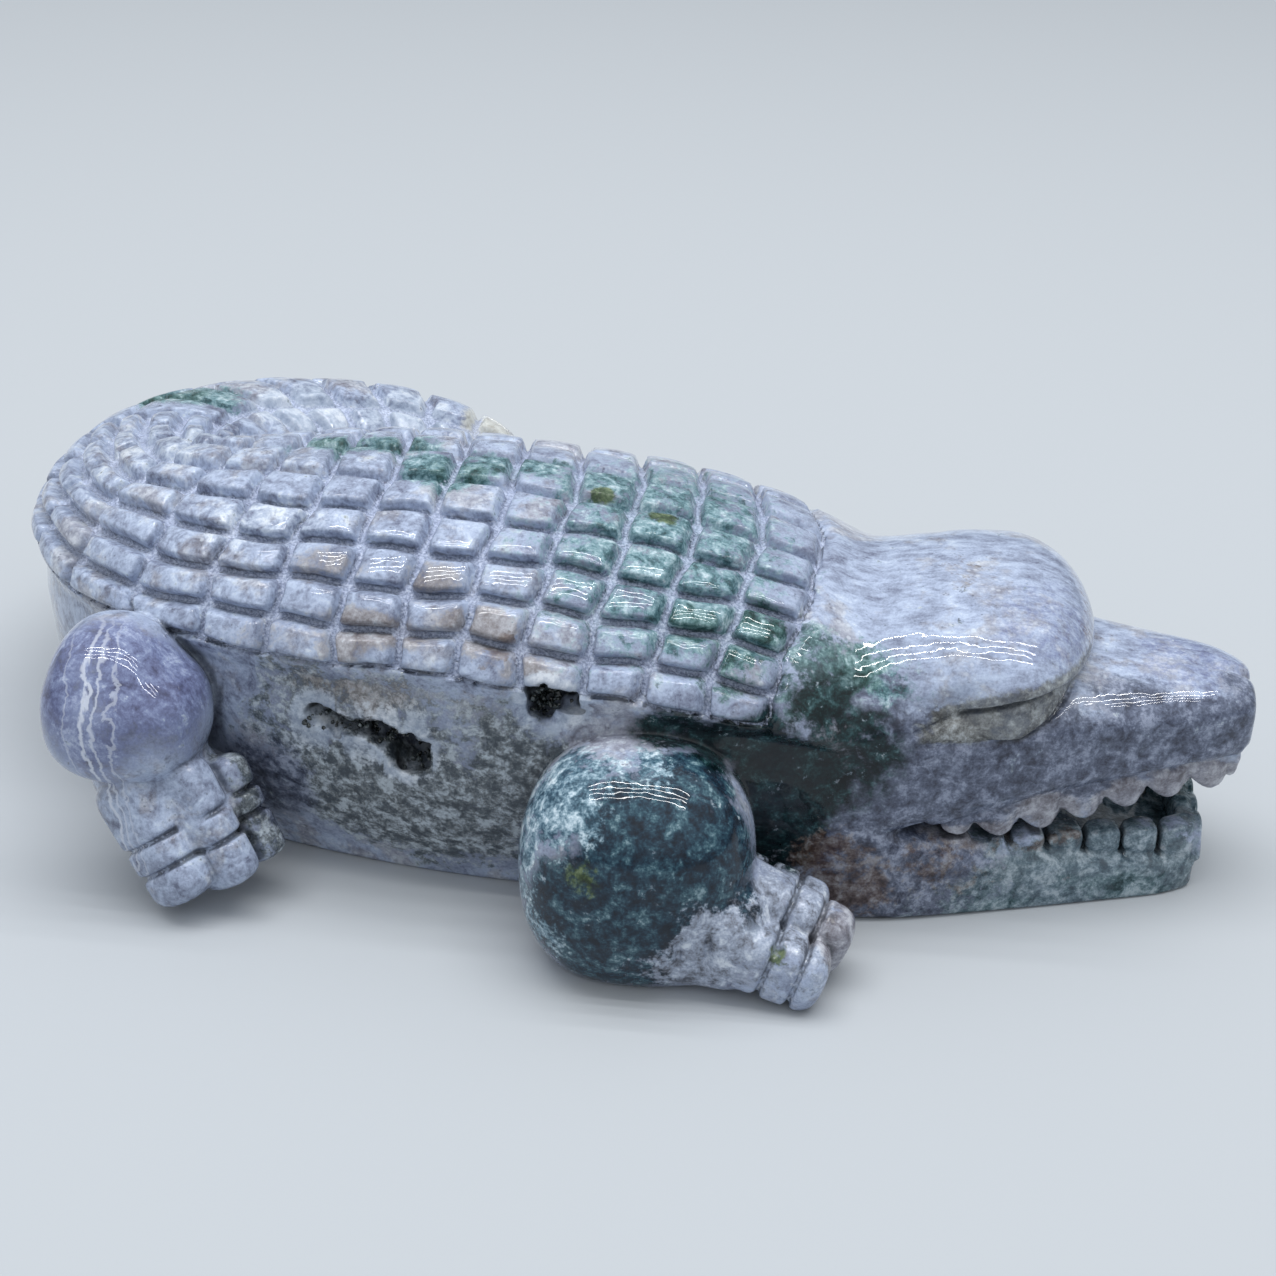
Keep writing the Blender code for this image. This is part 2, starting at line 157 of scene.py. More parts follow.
# Heights of the teeth's tips along the jaws, as (x, z).
UPPER_TIPS = (
    (54.0, 15.4),
    (58.0, 13.9),
    (64.0, 13.3),
    (71.0, 14.0),
    (76.0, 14.7),
    (83.0, 16.2),
    (100.0, 19.2),
)
LOWER_TIPS = (
    (54.0, 15.2),
    (57.0, 14.0),
    (64.0, 12.9),
    (70.0, 12.9),
    (76.0, 12.5),
    (83.0, 11.8),
    (100.0, 11.4),
)
TOOTH_THICKNESS = 4.6
TOOTH_INSET = 1.6
UPPER_TOOTH_OVERLAP = 1.14
LOWER_TOOTH_OVERLAP = 1.08
TOOTH_SPLAY = math.radians(18.0)
GUM_DEPTH = 1.6
GUM_SHOWING = 1.3
GUM_OVERLAP = 1.4
LOWER_GUM_SHOWING = 0.3
LOWER_GUM_OVERLAP = 1.2
LOWER_TOOTH_INSET = 0.4
LOWER_BLUNTNESS = 0.7
# A tooth: rounding of its edges, fall of a pointed tip's shoulders, and bulge and taper of its faces.
TOOTH_WEAR = 0.7
TOOTH_POINT = 2.4
TOOTH_BULGE = 0.5
TOOTH_TAPER = 0.1
TOOTH_BLEND = 0.2
# Cuts between the teeth: width and depths, and how far they stay clear of the lip and of the jaw.
TOOTH_CUT_WIDTH = 0.42
UPPER_TOOTH_CUT = 0.42
LOWER_TOOTH_CUT = 0.5
CLEAR_OF_LIP = 1.2
CLEAR_OF_JAW = 0.6
# Creases along the lips: width, distance from the mouth's edge, and depths.
LIP_CREASE_WIDTH = 0.5
LIP_CREASE_OFFSET = 0.3
UPPER_LIP_CREASE = 0.65
LOWER_LIP_CREASE = 0.6
# The groove down the nose: its middle at the snout's tip, its slant, width and depth.
NOSE_GROOVE_Y = -5.4
NOSE_GROOVE_SLANT = 0.1
NOSE_GROOVE_WIDTH = 1.1
NOSE_GROOVE_DEPTH = 1.1

# Legs, on the right side. A mass is (centre, radii); a hand is (start, end, radii); a toe is
# (knuckle, tip, radii, distances of its cuts back from its tip). Toe radii are (sideways, upward).
LEG_SQUARENESS = 2.45
FRONT_MASSES = (((10.9, -40.2, 15.2), (17.4, 15.6, 18.6)),)
FRONT_HAND = ((14.0, -43.5, 8.6), (23.5, -45.6, 8.4), (9.0, 9.0))
FRONT_TOES = (
    ((23.0, -35.4, 10.8), (36.0, -36.6, 6.8), (3.5, 5.0), (2.0, 7.0)),
    ((24.0, -41.2, 12.0), (38.6, -43.4, 6.4), (4.8, 6.2), (1.6, 6.3)),
    ((21.5, -48.8, 9.4), (35.6, -50.6, 5.2), (4.8, 5.8), (-0.2, 4.4)),
)
HIND_MASSES = (((-67.6, -32.5, 28.8), (12.4, 11.5, 9.6)), ((-70.0, -30.0, 35.6), (7.8, 9.5, 7.0)))
HIND_HAND = ((-65.0, -32.0, 19.0), (-58.0, -34.6, 14.0), (7.8, 7.8))
HIND_TOES = (
    ((-65.8, -38.0, 17.0), (-58.6, -42.2, 6.4), (4.5, 6.4), (2.0, 6.6)),
    ((-59.0, -36.6, 19.4), (-51.6, -40.0, 7.6), (3.6, 5.8), (4.0, 8.6)),
    ((-54.0, -32.2, 18.6), (-48.2, -34.8, 8.4), (3.0, 5.0), (5.2, 9.0)),
)
LEFT_HIND_SHIFT = (27.0, 11.0, -7.0)
LEFT_HIND_HAND = ((-37.0, 39.0, 8.0), (-27.0, 42.0, 7.0), (7.4, 7.4))
LEFT_HIND_TOES = (
    ((-33.0, 47.0, 9.0), (-21.0, 50.6, 5.8), (4.2, 5.8), (1.5, 6.5)),
    ((-31.0, 41.0, 11.0), (-17.0, 43.4, 6.0), (4.0, 5.4), (1.5, 6.5)),
    ((-32.0, 36.0, 11.0), (-16.5, 36.6, 5.8), (3.9, 5.0), (1.5, 6.5)),
)
TOE_SQUARENESS = 2.9
TOE_CUT_DEPTH = 1.0
TOE_CUT_WIDTH = 0.42
# A small pit in the near front toe, as (centre, radii, tilt), and two nicks at the wrist, at these x.
TOE_PIT = ((32.6, -53.5, 10.7), (1.0, 1.7, 1.5), 20.0)
WRIST_NICKS = (18.4, 22.6)
WRIST_NICK_DEPTH = 0.9
WRIST_NICK_WIDTH = 0.55
WRIST_Z = 9.5

# Crystal pockets, each as the hollows (centre, radii, tilt about Y) that it is joined from.
FLANK_POCKET = (
    ((-35.0, -33.0, 29.4), (6.4, 5.5, 1.7), 8.0),
    ((-28.6, -32.0, 28.6), (4.6, 7.0, 2.3), 14.0),
    ((-24.4, -32.0, 25.8), (4.4, 8.0, 3.6), 40.0),
)
SHOULDER_POCKET = (
    ((-2.4, -34.5, 38.4), (3.9, 8.0, 2.3), 24.0),
    ((-4.0, -34.0, 36.2), (2.2, 6.0, 3.0), 0.0),
)
POCKET_RAGGEDNESS = 1.2

# How softly the forms meet: their roundings and blends in millimetres.
NECK_ROUNDING = 2.0
TAIL_TIP_ROUNDING = 4.0
SKULL_BLEND = 1.6
JAW_BLEND = 0.8
LID_ROUNDING = 0.9
LID_BLEND = 0.3
HOOD_ROUNDING = 2.0
HOOD_BLEND = 0.4
HOOD_BLEND_BEHIND = 7.0
FOOT_ROUNDING = 0.8
SNOUT_ROUNDING = 1.6
LEG_MASS_BLEND = 5.0
LEG_BLEND = 0.5
HAND_BLEND = 1.6
TOE_BLEND = 0.35
TOE_PIT_BLEND = 0.3

# Seeds of the pockets' walls, of the stir of the stone's regions and of the crystals.
POCKET_SEEDS = (40, 41)
STIR_SEEDS = (11, 12, 13)
CRYSTAL_SEED = 7
# Large odd numbers that scatter a lattice's cells and a seed.
HASH_STEPS = (73856093, 19349663, 83492791, 2654435761)
HASH_STIR = 1274126177


def ramp(value, low, high):
    """Smoothly from 0 at low to 1 at high."""
    share = np.clip((value - low) / (high - low), 0.0, 1.0)
    return share * share * (3.0 - 2.0 * share)


def smooth_min(a, b, blend):
    blend = np.maximum(blend, 1e-4)
    share = np.clip(0.5 + 0.5 * (b - a) / blend, 0.0, 1.0)
    return b + (a - b) * share - blend * share * (1.0 - share)


def lattice_value(cell, seed):
    """A repeatable pseudo-random value from 0 to 1 for each whole-number cell."""
    mixed = cell.astype(np.int64)
    key = seed * HASH_STEPS[3]
    for axis in range(3):
        key = key ^ mixed[..., axis] * HASH_STEPS[axis]
    key = (key ^ (key >> 13)) * HASH_STIR & 0xFFFFFFFF
    return ((key ^ (key >> 16)) & 0xFFFF) / 65535.0


def corner_weights(share):
    """The corners of a unit cell, each with how much it counts at a share of the way along each axis."""
    for corner in itertools.product((0, 1), repeat=3):
        weight = 1.0
        for axis, step in enumerate(corner):
            weight = weight * (share[..., axis] if step else 1.0 - share[..., axis])
        yield corner, weight


def value_noise(points, size, seed):
    """Soft noise from -1 to 1 with features about as wide as size."""
    scaled = points / size
    cell = np.floor(scaled)
    share = scaled - cell
    share = share * share * (3.0 - 2.0 * share)
    total = 0.0
    for corner, weight in corner_weights(share):
        total = total + weight * lattice_value(cell + corner, seed)
    return 2.0 * total - 1.0


class Field:
    """Distances in millimetres on a regular grid, below zero inside the stone."""

    def __init__(self, low, high, step):
        self.step = step
        self.low = np.array(low)
        counts = [int(math.ceil((b - a) / step)) + 1 for a, b in zip(low, high)]
        self.axes = [a + step * np.arange(n) for a, n in zip(low, counts)]
        self.axes = [axis.astype(np.float32) for axis in self.axes]
        self.values = np.full(counts, FAR, np.float32)

    def window(self, low, high):
        cut = tuple(
            slice(int(np.searchsorted(axis, a)), int(np.searchsorted(axis, b)))
            for axis, a, b in zip(self.axes, low, high)
        )
        x = self.axes[0][cut[0], None, None]
        y = self.axes[1][None, cut[1], None]
        z = self.axes[2][None, None, cut[2]]
        return cut, x, y, z

    def join(self, form, low, high, blend=0.0):
        cut, x, y, z = self.window(low, high)
        self.values[cut] = smooth_min(self.values[cut], form(x, y, z), blend)

    def carve(self, form, low, high, blend=0.0):
        cut, x, y, z = self.window(low, high)
        self.values[cut] = -smooth_min(-self.values[cut], form(x, y, z), blend)

    def engrave(self, depth_at, low, high):
        """Lowers the surface by a depth that varies over space."""
        cut, x, y, z = self.window(low, high)
        self.values[cut] += depth_at(x, y, z).astype(np.float32)

    def sample(self, points, values=None):
        """The field between grid points."""
        values = self.values if values is None else values
        place = (points - self.low) / self.step
        limit = np.array(self.values.shape) - 2
        cell = np.clip(np.floor(place).astype(int), 0, limit)
        total = 0.0
        for corner, weight in corner_weights(place - cell):
            total = total + weight * values[tuple((cell + corner).T)]
        return total

    def slope(self, points, reach):
        """The field's gradient, measured over a small reach to each side."""
        columns = []
        for axis in range(3):
            shift = np.zeros(3)
            shift[axis] = reach
            columns.append((self.sample(points + shift) - self.sample(points - shift)) / (2.0 * reach))
        return np.stack(columns, axis=1)


def in_millimetres(reach, *steepness):
    """A distance from a form's own measure, which is 1 on its surface and has this steepness per axis."""
    return (reach - 1.0) / np.maximum(np.sqrt(sum(part**2 for part in steepness)), LEAST_STEEPNESS)


def height_along(table, x):
    """The height at x, from a table of (x, z) rows."""
    return np.interp(x, *np.array(table).T)


def around(points, margin):
    """The lowest and highest corners around some points, with a margin."""
    stacked = np.array(points)
    return stacked.min(axis=0) - margin, stacked.max(axis=0) + margin


def ellipsoid(centre, radii, tilt=0.0):
    """An ellipsoid, turned about Y by tilt degrees."""
    cosine, sine = math.cos(math.radians(tilt)), math.sin(math.radians(tilt))

    def form(x, y, z):
        dx, dy, dz = x - centre[0], y - centre[1], z - centre[2]
        px = (cosine * dx - sine * dz) / radii[0]
        py = dy / radii[1]
        pz = (sine * dx + cosine * dz) / radii[2]
        reach = np.sqrt(px * px + py * py + pz * pz)
        steep = np.sqrt((px / radii[0]) ** 2 + (py / radii[1]) ** 2 + (pz / radii[2]) ** 2)
        return reach * (reach - 1.0) / np.maximum(steep, 1e-3)

    return form


def toe(start, end, radii, cuts=()):
    """A drawn-out rounded block, with ring-shaped cuts at distances back from the end of its centre line."""
    wide, tall = radii
    start, end = np.array(start, float), np.array(end, float)
    axis = end - start
    length = float(np.linalg.norm(axis))
    axis = axis / length
    side = np.cross(axis, (0.0, 0.0, 1.0))
    side = side / np.linalg.norm(side)
    top = np.cross(side, axis)

    def form(x, y, z):
        dx, dy, dz = x - start[0], y - start[1], z - start[2]
        along = dx * axis[0] + dy * axis[1] + dz * axis[2]
        held = np.clip(along, 0.0, length)
        over = np.abs(along - held) / wide
        sideways = np.abs(dx * side[0] + dy * side[1] + dz * side[2]) / wide
        upward = np.abs(dx * top[0] + dy * top[1] + dz * top[2]) / tall
        reach = over**TOE_SQUARENESS + sideways**TOE_SQUARENESS + upward**TOE_SQUARENESS
        size = 1.0 - 0.1 * held / length
        for back in cuts:
            size = size - TOE_CUT_DEPTH / wide * np.exp(-(((along - length + back) / TOE_CUT_WIDTH) ** 2))
        return ((reach + 1e-9) ** (1.0 / TOE_SQUARENESS) - size) * wide

    return form


def spline_rows(table, position):
    """Rows of a table at fractional row numbers, on a Catmull-Rom spline, straight beyond its ends."""
    last = len(table) - 1
    inside = np.clip(position, 0.0, last)
    i = np.minimum(inside.astype(int), last - 1)
    t = (inside - i)[..., None]
    a, b, c, d = (table[np.clip(i + k, 0, last)] for k in (-1, 0, 1, 2))
    first, second, third = c - a, 2 * a - 5 * b + 4 * c - d, 3 * b - a - 3 * c + d
    value = 0.5 * (2 * b + first * t + second * t**2 + third * t**3)
    steep = 0.5 * (first + 2 * second * t + 3 * third * t**2)
    return value + steep * (position - inside)[..., None]


def plan_point(position, across):
    """The plan place of a station number and a share across: -1 at the outer side, 1 at the inner."""
    row = spline_rows(BACK_STATIONS, position)
    x = (row[..., 0] + row[..., 2]) / 2 + across * (row[..., 2] - row[..., 0]) / 2
    y = (row[..., 1] + row[..., 3]) / 2 + across * (row[..., 3] - row[..., 1]) / 2
    return x, y


class BackPlan:
    """For each grid column, the back's station number and share across, found by search and Newton steps."""

    REACH = 1.45

    def __init__(self, field):
        xs, ys = field.axes[0], field.axes[1]
        count = len(BACK_STATIONS) - 1
        across = np.linspace(-self.REACH, self.REACH, 340)
        across = across[np.argsort(-np.abs(across), kind="stable")]
        position = np.linspace(-0.4, count + 0.4, 1700)
        u, s = np.meshgrid(across, position, indexing="ij")
        x, y = plan_point(s, u)
        i = np.rint((x - xs[0]) / field.step).astype(int)
        j = np.rint((y - ys[0]) / field.step).astype(int)
        held = (i >= 0) & (i < len(xs)) & (j >= 0) & (j < len(ys))
        self.known = np.zeros((len(xs), len(ys)), bool)
        self.s = np.zeros(self.known.shape)
        self.u = np.full(self.known.shape, self.REACH)
        self.known[i[held], j[held]] = True
        self.s[i[held], j[held]] = s[held]
        self.u[i[held], j[held]] = u[held]
        self.refine(xs, ys)
        self.measure()

    def refine(self, xs, ys):
        i, j = np.nonzero(self.known)
        goal_x, goal_y = xs[i].astype(float), ys[j].astype(float)
        s, u = self.s[i, j], self.u[i, j]
        nudge = 0.01
        for _ in range(4):
            x, y = plan_point(s, u)
            sx, sy = plan_point(s + nudge, u)
            ux, uy = plan_point(s, u + nudge)
            a, b, c, d = (sx - x) / nudge, (ux - x) / nudge, (sy - y) / nudge, (uy - y) / nudge
            determinant = a * d - b * c
            safe = np.where(np.abs(determinant) < 1.0, np.inf, determinant)
            ex, ey = goal_x - x, goal_y - y
            s = s + np.clip((d * ex - b * ey) / safe, -0.05, 0.05)
            u = u + np.clip((a * ey - c * ex) / safe, -0.05, 0.05)
        self.s[i, j], self.u[i, j] = s, u

    def measure(self):
        """Half width, height, length along the back and how much longer a row is here than at its middle."""
        row = spline_rows(BACK_STATIONS, self.s)
        self.half = np.hypot(row[..., 2] - row[..., 0], row[..., 3] - row[..., 1]) / 2
        self.height = row[..., 4]
        steps = np.linspace(-0.5, len(BACK_STATIONS) - 0.5, 2000)
        x, y = plan_point(steps, np.zeros_like(steps))
        walked = np.concatenate([[0.0], np.cumsum(np.hypot(np.diff(x), np.diff(y)))])
        walked -= np.interp(1.0, steps, walked)
        self.along = np.interp(self.s, steps, walked)
        self.tail_along = float(np.interp(len(BACK_STATIONS) - 1, steps, walked))
        nudge = 0.01
        x0, y0 = plan_point(self.s, self.u)
        x1, y1 = plan_point(self.s + nudge, self.u)
        mx0, my0 = plan_point(self.s, self.u * 0)
        mx1, my1 = plan_point(self.s + nudge, self.u * 0)
        middle = np.hypot(mx1 - mx0, my1 - my0)
        self.stretch = np.hypot(x1 - x0, y1 - y0) / np.maximum(middle, 1e-6)


def back_form(plan, z):
    """The trunk and tail without their scutes."""
    half = plan.half[..., None].astype(np.float32)
    height = plan.height[..., None].astype(np.float32)
    share = np.abs(plan.u)[..., None].astype(np.float32)
    widest = WIDEST_SHARE * height
    crown = height - widest
    rise = np.maximum((z - widest) / crown, 0.0)
    squared = share**BACK_ROUNDNESS + rise * rise
    reach = np.sqrt(np.maximum(squared, 1e-6))
    steep_across = BACK_ROUNDNESS * share ** (BACK_ROUNDNESS - 1) / half
    steep_up = 2.0 * rise / crown
    steep = np.sqrt(steep_across**2 + steep_up**2) / (2.0 * reach)
    upper = np.clip((reach - 1.0) / np.maximum(steep, 0.012), -FAR, FAR)
    edge = scute_edge(height)
    edge_inset = 1.0 - math.cos(SCUTE_EDGE_ANGLE) ** (2 / BACK_ROUNDNESS)
    inset = np.interp(z / height, FLANK_SHARES, FLANK_INSETS).astype(np.float32)
    inset = inset * np.minimum(1.0, half / 30.0)
    near_edge = np.clip((z - 0.64 * height) / (edge - 0.64 * height), 0.0, 1.0)
    inset = inset + (edge_inset * half - inset) * near_edge
    side = share * half - (half - inset)
    return np.where(z > edge, upper, side)


def scute_edge(height):
    """The height at which the scutes end on the flanks, where the back is this high."""
    return height * (WIDEST_SHARE + (1 - WIDEST_SHARE) * math.sin(SCUTE_EDGE_ANGLE))


def scute_shape(plan, band, z):
    """How far the scutes stand out, and how much of each point lies in a groove, over a thin band."""
    i, j, _ = band
    s, u = plan.s[i, j], plan.u[i, j]
    half, height = plan.half[i, j], plan.height[i, j]
    widest = WIDEST_SHARE * height
    crown = height - widest
    rise = np.maximum((z - widest) / crown, 0.0)
    lean = -np.sign(u) * np.abs(u) ** (BACK_ROUNDNESS / 2)
    angle = np.arctan2(rise, lean)
    span = math.pi - 2 * SCUTE_EDGE_ANGLE
    column = SCUTE_COLUMNS * (angle - SCUTE_EDGE_ANGLE) / span
    column_width = span / SCUTE_COLUMNS * np.hypot(half * np.sin(angle), crown * np.cos(angle))
    sweep = ROW_SWEEP * np.maximum(0.0, 1.0 - s / 7.0)
    row = (plan.along[i, j] - sweep * np.minimum(1.0, u * u)) / SCUTE_PITCH
    row_width = SCUTE_PITCH * plan.stretch[i, j]
    # Hand-cut grooves wander a little.
    column = column + 0.06 * np.sin(1.9 * row + 1.3 * np.rint(column)) + 0.03 * np.sin(4.7 * row)
    row = row + 0.035 * np.sin(2.3 * column + 2.1 * np.rint(row)) + 0.02 * np.sin(5.3 * column)
    on_tail = row > TAIL_STARTS_AT_ROW
    grouped = np.interp(column, TAIL_COLUMN_EDGES, range(len(TAIL_COLUMN_EDGES)))
    group_width = np.interp(column, TAIL_COLUMN_EDGES[:-1], np.diff(TAIL_COLUMN_EDGES)) * column_width
    inside_column = np.where(on_tail, grouped, column)
    column_width = np.where(on_tail, group_width, column_width)
    columns = np.where(on_tail, len(TAIL_COLUMN_EDGES) - 1, SCUTE_COLUMNS)
    row_share, column_share = row % 1.0, inside_column % 1.0
    to_row = (0.5 - np.abs(row_share - 0.5)) * row_width
    to_column = (0.5 - np.abs(column_share - 0.5)) * column_width
    p = np.maximum(0.0, SCUTE_CORNER - (to_row - GROOVE_HALF_WIDTH * 1.25))
    q = np.maximum(0.0, SCUTE_CORNER - (to_column - GROOVE_HALF_WIDTH))
    edge = SCUTE_CORNER - np.sqrt(p * p + q * q)
    softness = ramp(row, 8.0, 15.0)
    up = ramp(edge, 0.0, SCUTE_BEVEL + 0.5 * softness)
    here = (column > 0) & (column < SCUTE_COLUMNS) & (row > 0) & (row < plan.tail_along / SCUTE_PITCH - 0.4)
    here &= inside_column < columns
    cell = np.stack([np.floor(row), np.floor(inside_column), 0 * row], axis=-1)
    tilt_row = lattice_value(cell, 3) - 0.5
    tilt_column = lattice_value(cell, 5) - 0.5
    tall = 0.9 + 0.12 * lattice_value(cell, 7)
    pillow = 0.7 + 0.3 * (1 - (2 * row_share - 1) ** 2) * (1 - (2 * column_share - 1) ** 2)
    lean = 1.0 + 0.3 * tilt_row * (row_share - 0.5) + 0.3 * tilt_column * (column_share - 0.5)
    shape = np.where(here, up * np.minimum(tall * pillow * lean, 1.0), 0.0)
    neck = NECK_RISE / SCUTE_HEIGHT * ramp(-row, 0.06, 0.2) * (1.0 - ramp(-row, 0.6, 1.8))
    shape = np.where(row < 0, neck, shape)
    groove = np.where(here, 1.0 - up, 0.0)
    return SCUTE_HEIGHT * shape - GROOVE_DEPTH * groove, groove


def smoothed(table, column, x):
    """A head table's column at x, with its corners rounded over a few millimetres."""
    reach = np.linspace(-5.0, 5.0, 11)
    weights = np.cos(reach * math.pi / 12.0) ** 2
    total = sum(w * np.interp(x + r, table[:, 0], table[:, column]) for r, w in zip(reach, weights))
    return (total / weights.sum()).astype(np.float32)


def head_form(table, squareness):
    """A loft along X whose sections are rounded boxes, rounder above than below."""

    def form(x, y, z):
        right, left, low, top = (smoothed(table, k, x) for k in (1, 2, 3, 4))
        centre, half = (left + right) / 2, (left - right) / 2
        middle, rise = (low + top) / 2, (top - low) / 2
        py, pz = np.abs(y - centre) / half, (z - middle) / rise
        power = np.where(pz > 0, squareness[0], squareness[1])
        pz = np.abs(pz)
        reach = (py**power + pz**power + 1e-9) ** (1.0 / power)
        steep_y = (py / reach) ** (power - 1) / half
        steep_z = (pz / reach) ** (power - 1) / rise
        section = np.clip(in_millimetres(reach, steep_y, steep_z), -FAR, FAR)
        return -smooth_min(-section, table[-1, 0] - x, SNOUT_ROUNDING)

    return form


def brow_form(shape, rim, rounding):
    """An egg-shaped cap, flattened on top, whose underside follows the rim's heights."""
    centre, (side_radius, upper_radius), ahead, behind = shape
    power = BROW_SQUARENESS

    def form(x, y, z):
        radius_x = np.where(x > centre[0], ahead, behind)
        px = np.abs(x - centre[0]) / radius_x
        py = np.abs(y - centre[1]) / side_radius
        pz = np.abs(z - centre[2]) / upper_radius
        flat = np.sqrt(px * px + py * py + 1e-9)
        reach = (flat**power + pz**power + 1e-9) ** (1.0 / power)
        steep_flat = (flat / reach) ** (power - 1)
        steep_x, steep_y = steep_flat * px / flat / radius_x, steep_flat * py / flat / side_radius
        steep_z = (pz / reach) ** (power - 1) / upper_radius
        egg = in_millimetres(reach, steep_x, steep_y, steep_z)
        cut = (height_along(rim, x) - z) * RIM_SLOPE
        return -smooth_min(-egg, -cut, rounding)

    return form


def along_rim(rim, width, depth):
    """An engraved line on the head's sides that follows the rim's heights."""
    from_x = rim[0][0]

    def depth_at(x, y, z):
        off = (z - height_along(rim, x)) / width
        ends = ramp(x, from_x, from_x + 5.0) * (1.0 - ramp(x, 76.0, 78.5))
        aside = ramp(np.abs(y - BROW_HOOD[0][1]), CREASES_FROM_ASIDE - 4.0, CREASES_FROM_ASIDE)
        return depth * np.exp(-off * off) * ends * aside

    return depth_at


def tooth_places(from_x, further_in=0.0):
    """Each tooth as (x, y, turn about Z, length)."""
    length = (from_x - TEETH_TO_X) / SIDE_TEETH
    inset = TOOTH_INSET + TOOTH_THICKNESS / 2 + further_in
    for side in (-1, 1):
        for k in range(SIDE_TEETH):
            x = from_x - (k + 0.5) * length
            edge = float(np.interp(x, SKULL_STATIONS[:, 0], SKULL_STATIONS[:, 1 if side < 0 else 2]))
            yield x, edge - side * inset, -side * TOOTH_SPLAY, length
    right, left = (float(np.interp(from_x, SKULL_STATIONS[:, 0], SKULL_STATIONS[:, k])) for k in (1, 2))
    width = (left - right) / (FRONT_TEETH + 1)
    for k in range(FRONT_TEETH):
        y = right + (k + 1) * width
        yield from_x - 0.6 - further_in, y, math.pi / 2, width * 1.1


def tooth_form(place, root, tip, blunt, overlap):
    """A plate from its root height to its tip height: a blunt point or a nearly flat top, with worn edges."""
    x0, y0, turn, length = place
    cosine, sine = math.cos(turn), math.sin(turn)
    half = length / 2 * overlap
    up = 1.0 if tip > root else -1.0
    reach = abs(tip - root)

    def form(x, y, z):
        dx, dy = x - x0, y - y0
        along = cosine * dx + sine * dy
        across = np.abs(-sine * dx + cosine * dy)
        height = (z - root) * up
        shoulder = np.abs(along - 0.15 * half) / half
        taper = height - reach + (1.0 - blunt) * TOOTH_POINT * shoulder**1.6
        box = -smooth_min(-(np.abs(along) - half), -taper, TOOTH_WEAR)
        bulge = TOOTH_BULGE * (1.0 - (along / half) ** 2)
        box = -smooth_min(-box, -(across - TOOTH_THICKNESS / 2 + TOOTH_TAPER * height - bulge), TOOTH_WEAR)
        return np.maximum(box, -height)

    return form


def add_tooth_row(field, places, edge, inward, tips, blunt, overlap, gum_showing, gum_overlap):
    """One jaw's teeth, each with a band of gum; inward is 1 where their roots point up, and -1 down."""
    for place in places:
        x, y = place[:2]
        root = float(height_along(edge, x)) + inward * GUM_DEPTH
        tip = float(height_along(tips, x))
        gum = root - inward * GUM_DEPTH - inward * gum_showing
        low, high = around([(x, y, root), (x, y, tip)], 6.0)
        field.join(tooth_form(place, root, tip, blunt, overlap), low, high, TOOTH_BLEND)
        field.join(tooth_form(place, root, gum, 1.0, gum_overlap), low, high, TOOTH_BLEND)


def add_teeth(field):
    """Pointed upper teeth and blunt lower ones."""
    upper, lower = tooth_places(UPPER_TEETH_FROM_X), tooth_places(LOWER_TEETH_FROM_X, LOWER_TOOTH_INSET)
    lip, jaw = SKULL_STATIONS[:, (0, 3)], JAW_STATIONS[:, (0, 4)]
    add_tooth_row(field, upper, lip, 1, UPPER_TIPS, 0.0, UPPER_TOOTH_OVERLAP, GUM_SHOWING, GUM_OVERLAP)
    shape = (LOWER_TIPS, LOWER_BLUNTNESS, LOWER_TOOTH_OVERLAP, LOWER_GUM_SHOWING, LOWER_GUM_OVERLAP)
    add_tooth_row(field, lower, jaw, -1, *shape)


def leg_mass(centre, radii):
    """A boxy ellipsoid."""
    power = LEG_SQUARENESS

    def form(x, y, z):
        parts = [np.abs(at - middle) / radius for at, middle, radius in zip((x, y, z), centre, radii)]
        reach = (sum(part**power for part in parts) + 1e-9) ** (1.0 / power)
        steep = [(part / reach) ** (power - 1) / radius for part, radius in zip(parts, radii)]
        return in_millimetres(reach, *steep)

    return form


def add_leg(field, masses, hand, toes):
    """The leg's rounded masses, melted together, then its hand and its cut toes."""
    low, high = around([centre for centre, _ in masses], 24.0)

    def leg(x, y, z):
        total = leg_mass(*masses[0])(x, y, z)
        for mass in masses[1:]:
            total = smooth_min(total, leg_mass(*mass)(x, y, z), LEG_MASS_BLEND)
        return total

    field.join(leg, low, high, LEG_BLEND)
    low, high = around(hand[:2], max(hand[2]) + 3.0)
    field.join(toe(*hand), low, high, HAND_BLEND)
    for start, end, radii, cuts in toes:
        low, high = around([start, end], max(radii) + 3.0)
        field.join(toe(start, end, radii, cuts), low, high, TOE_BLEND)


def flipped(point):
    return (point[0], -point[1], point[2])


def wrist_nicks(x, y, z):
    """Depth of the short cuts above the front hand, on its outer side."""
    cuts = sum(WRIST_NICK_DEPTH * np.exp(-(((x - at) / WRIST_NICK_WIDTH) ** 2)) for at in WRIST_NICKS)
    return cuts * (1.0 - ramp(np.abs(z - WRIST_Z), 1.5, 4.0)) * (1.0 - ramp(y, -51.5, -49.0))


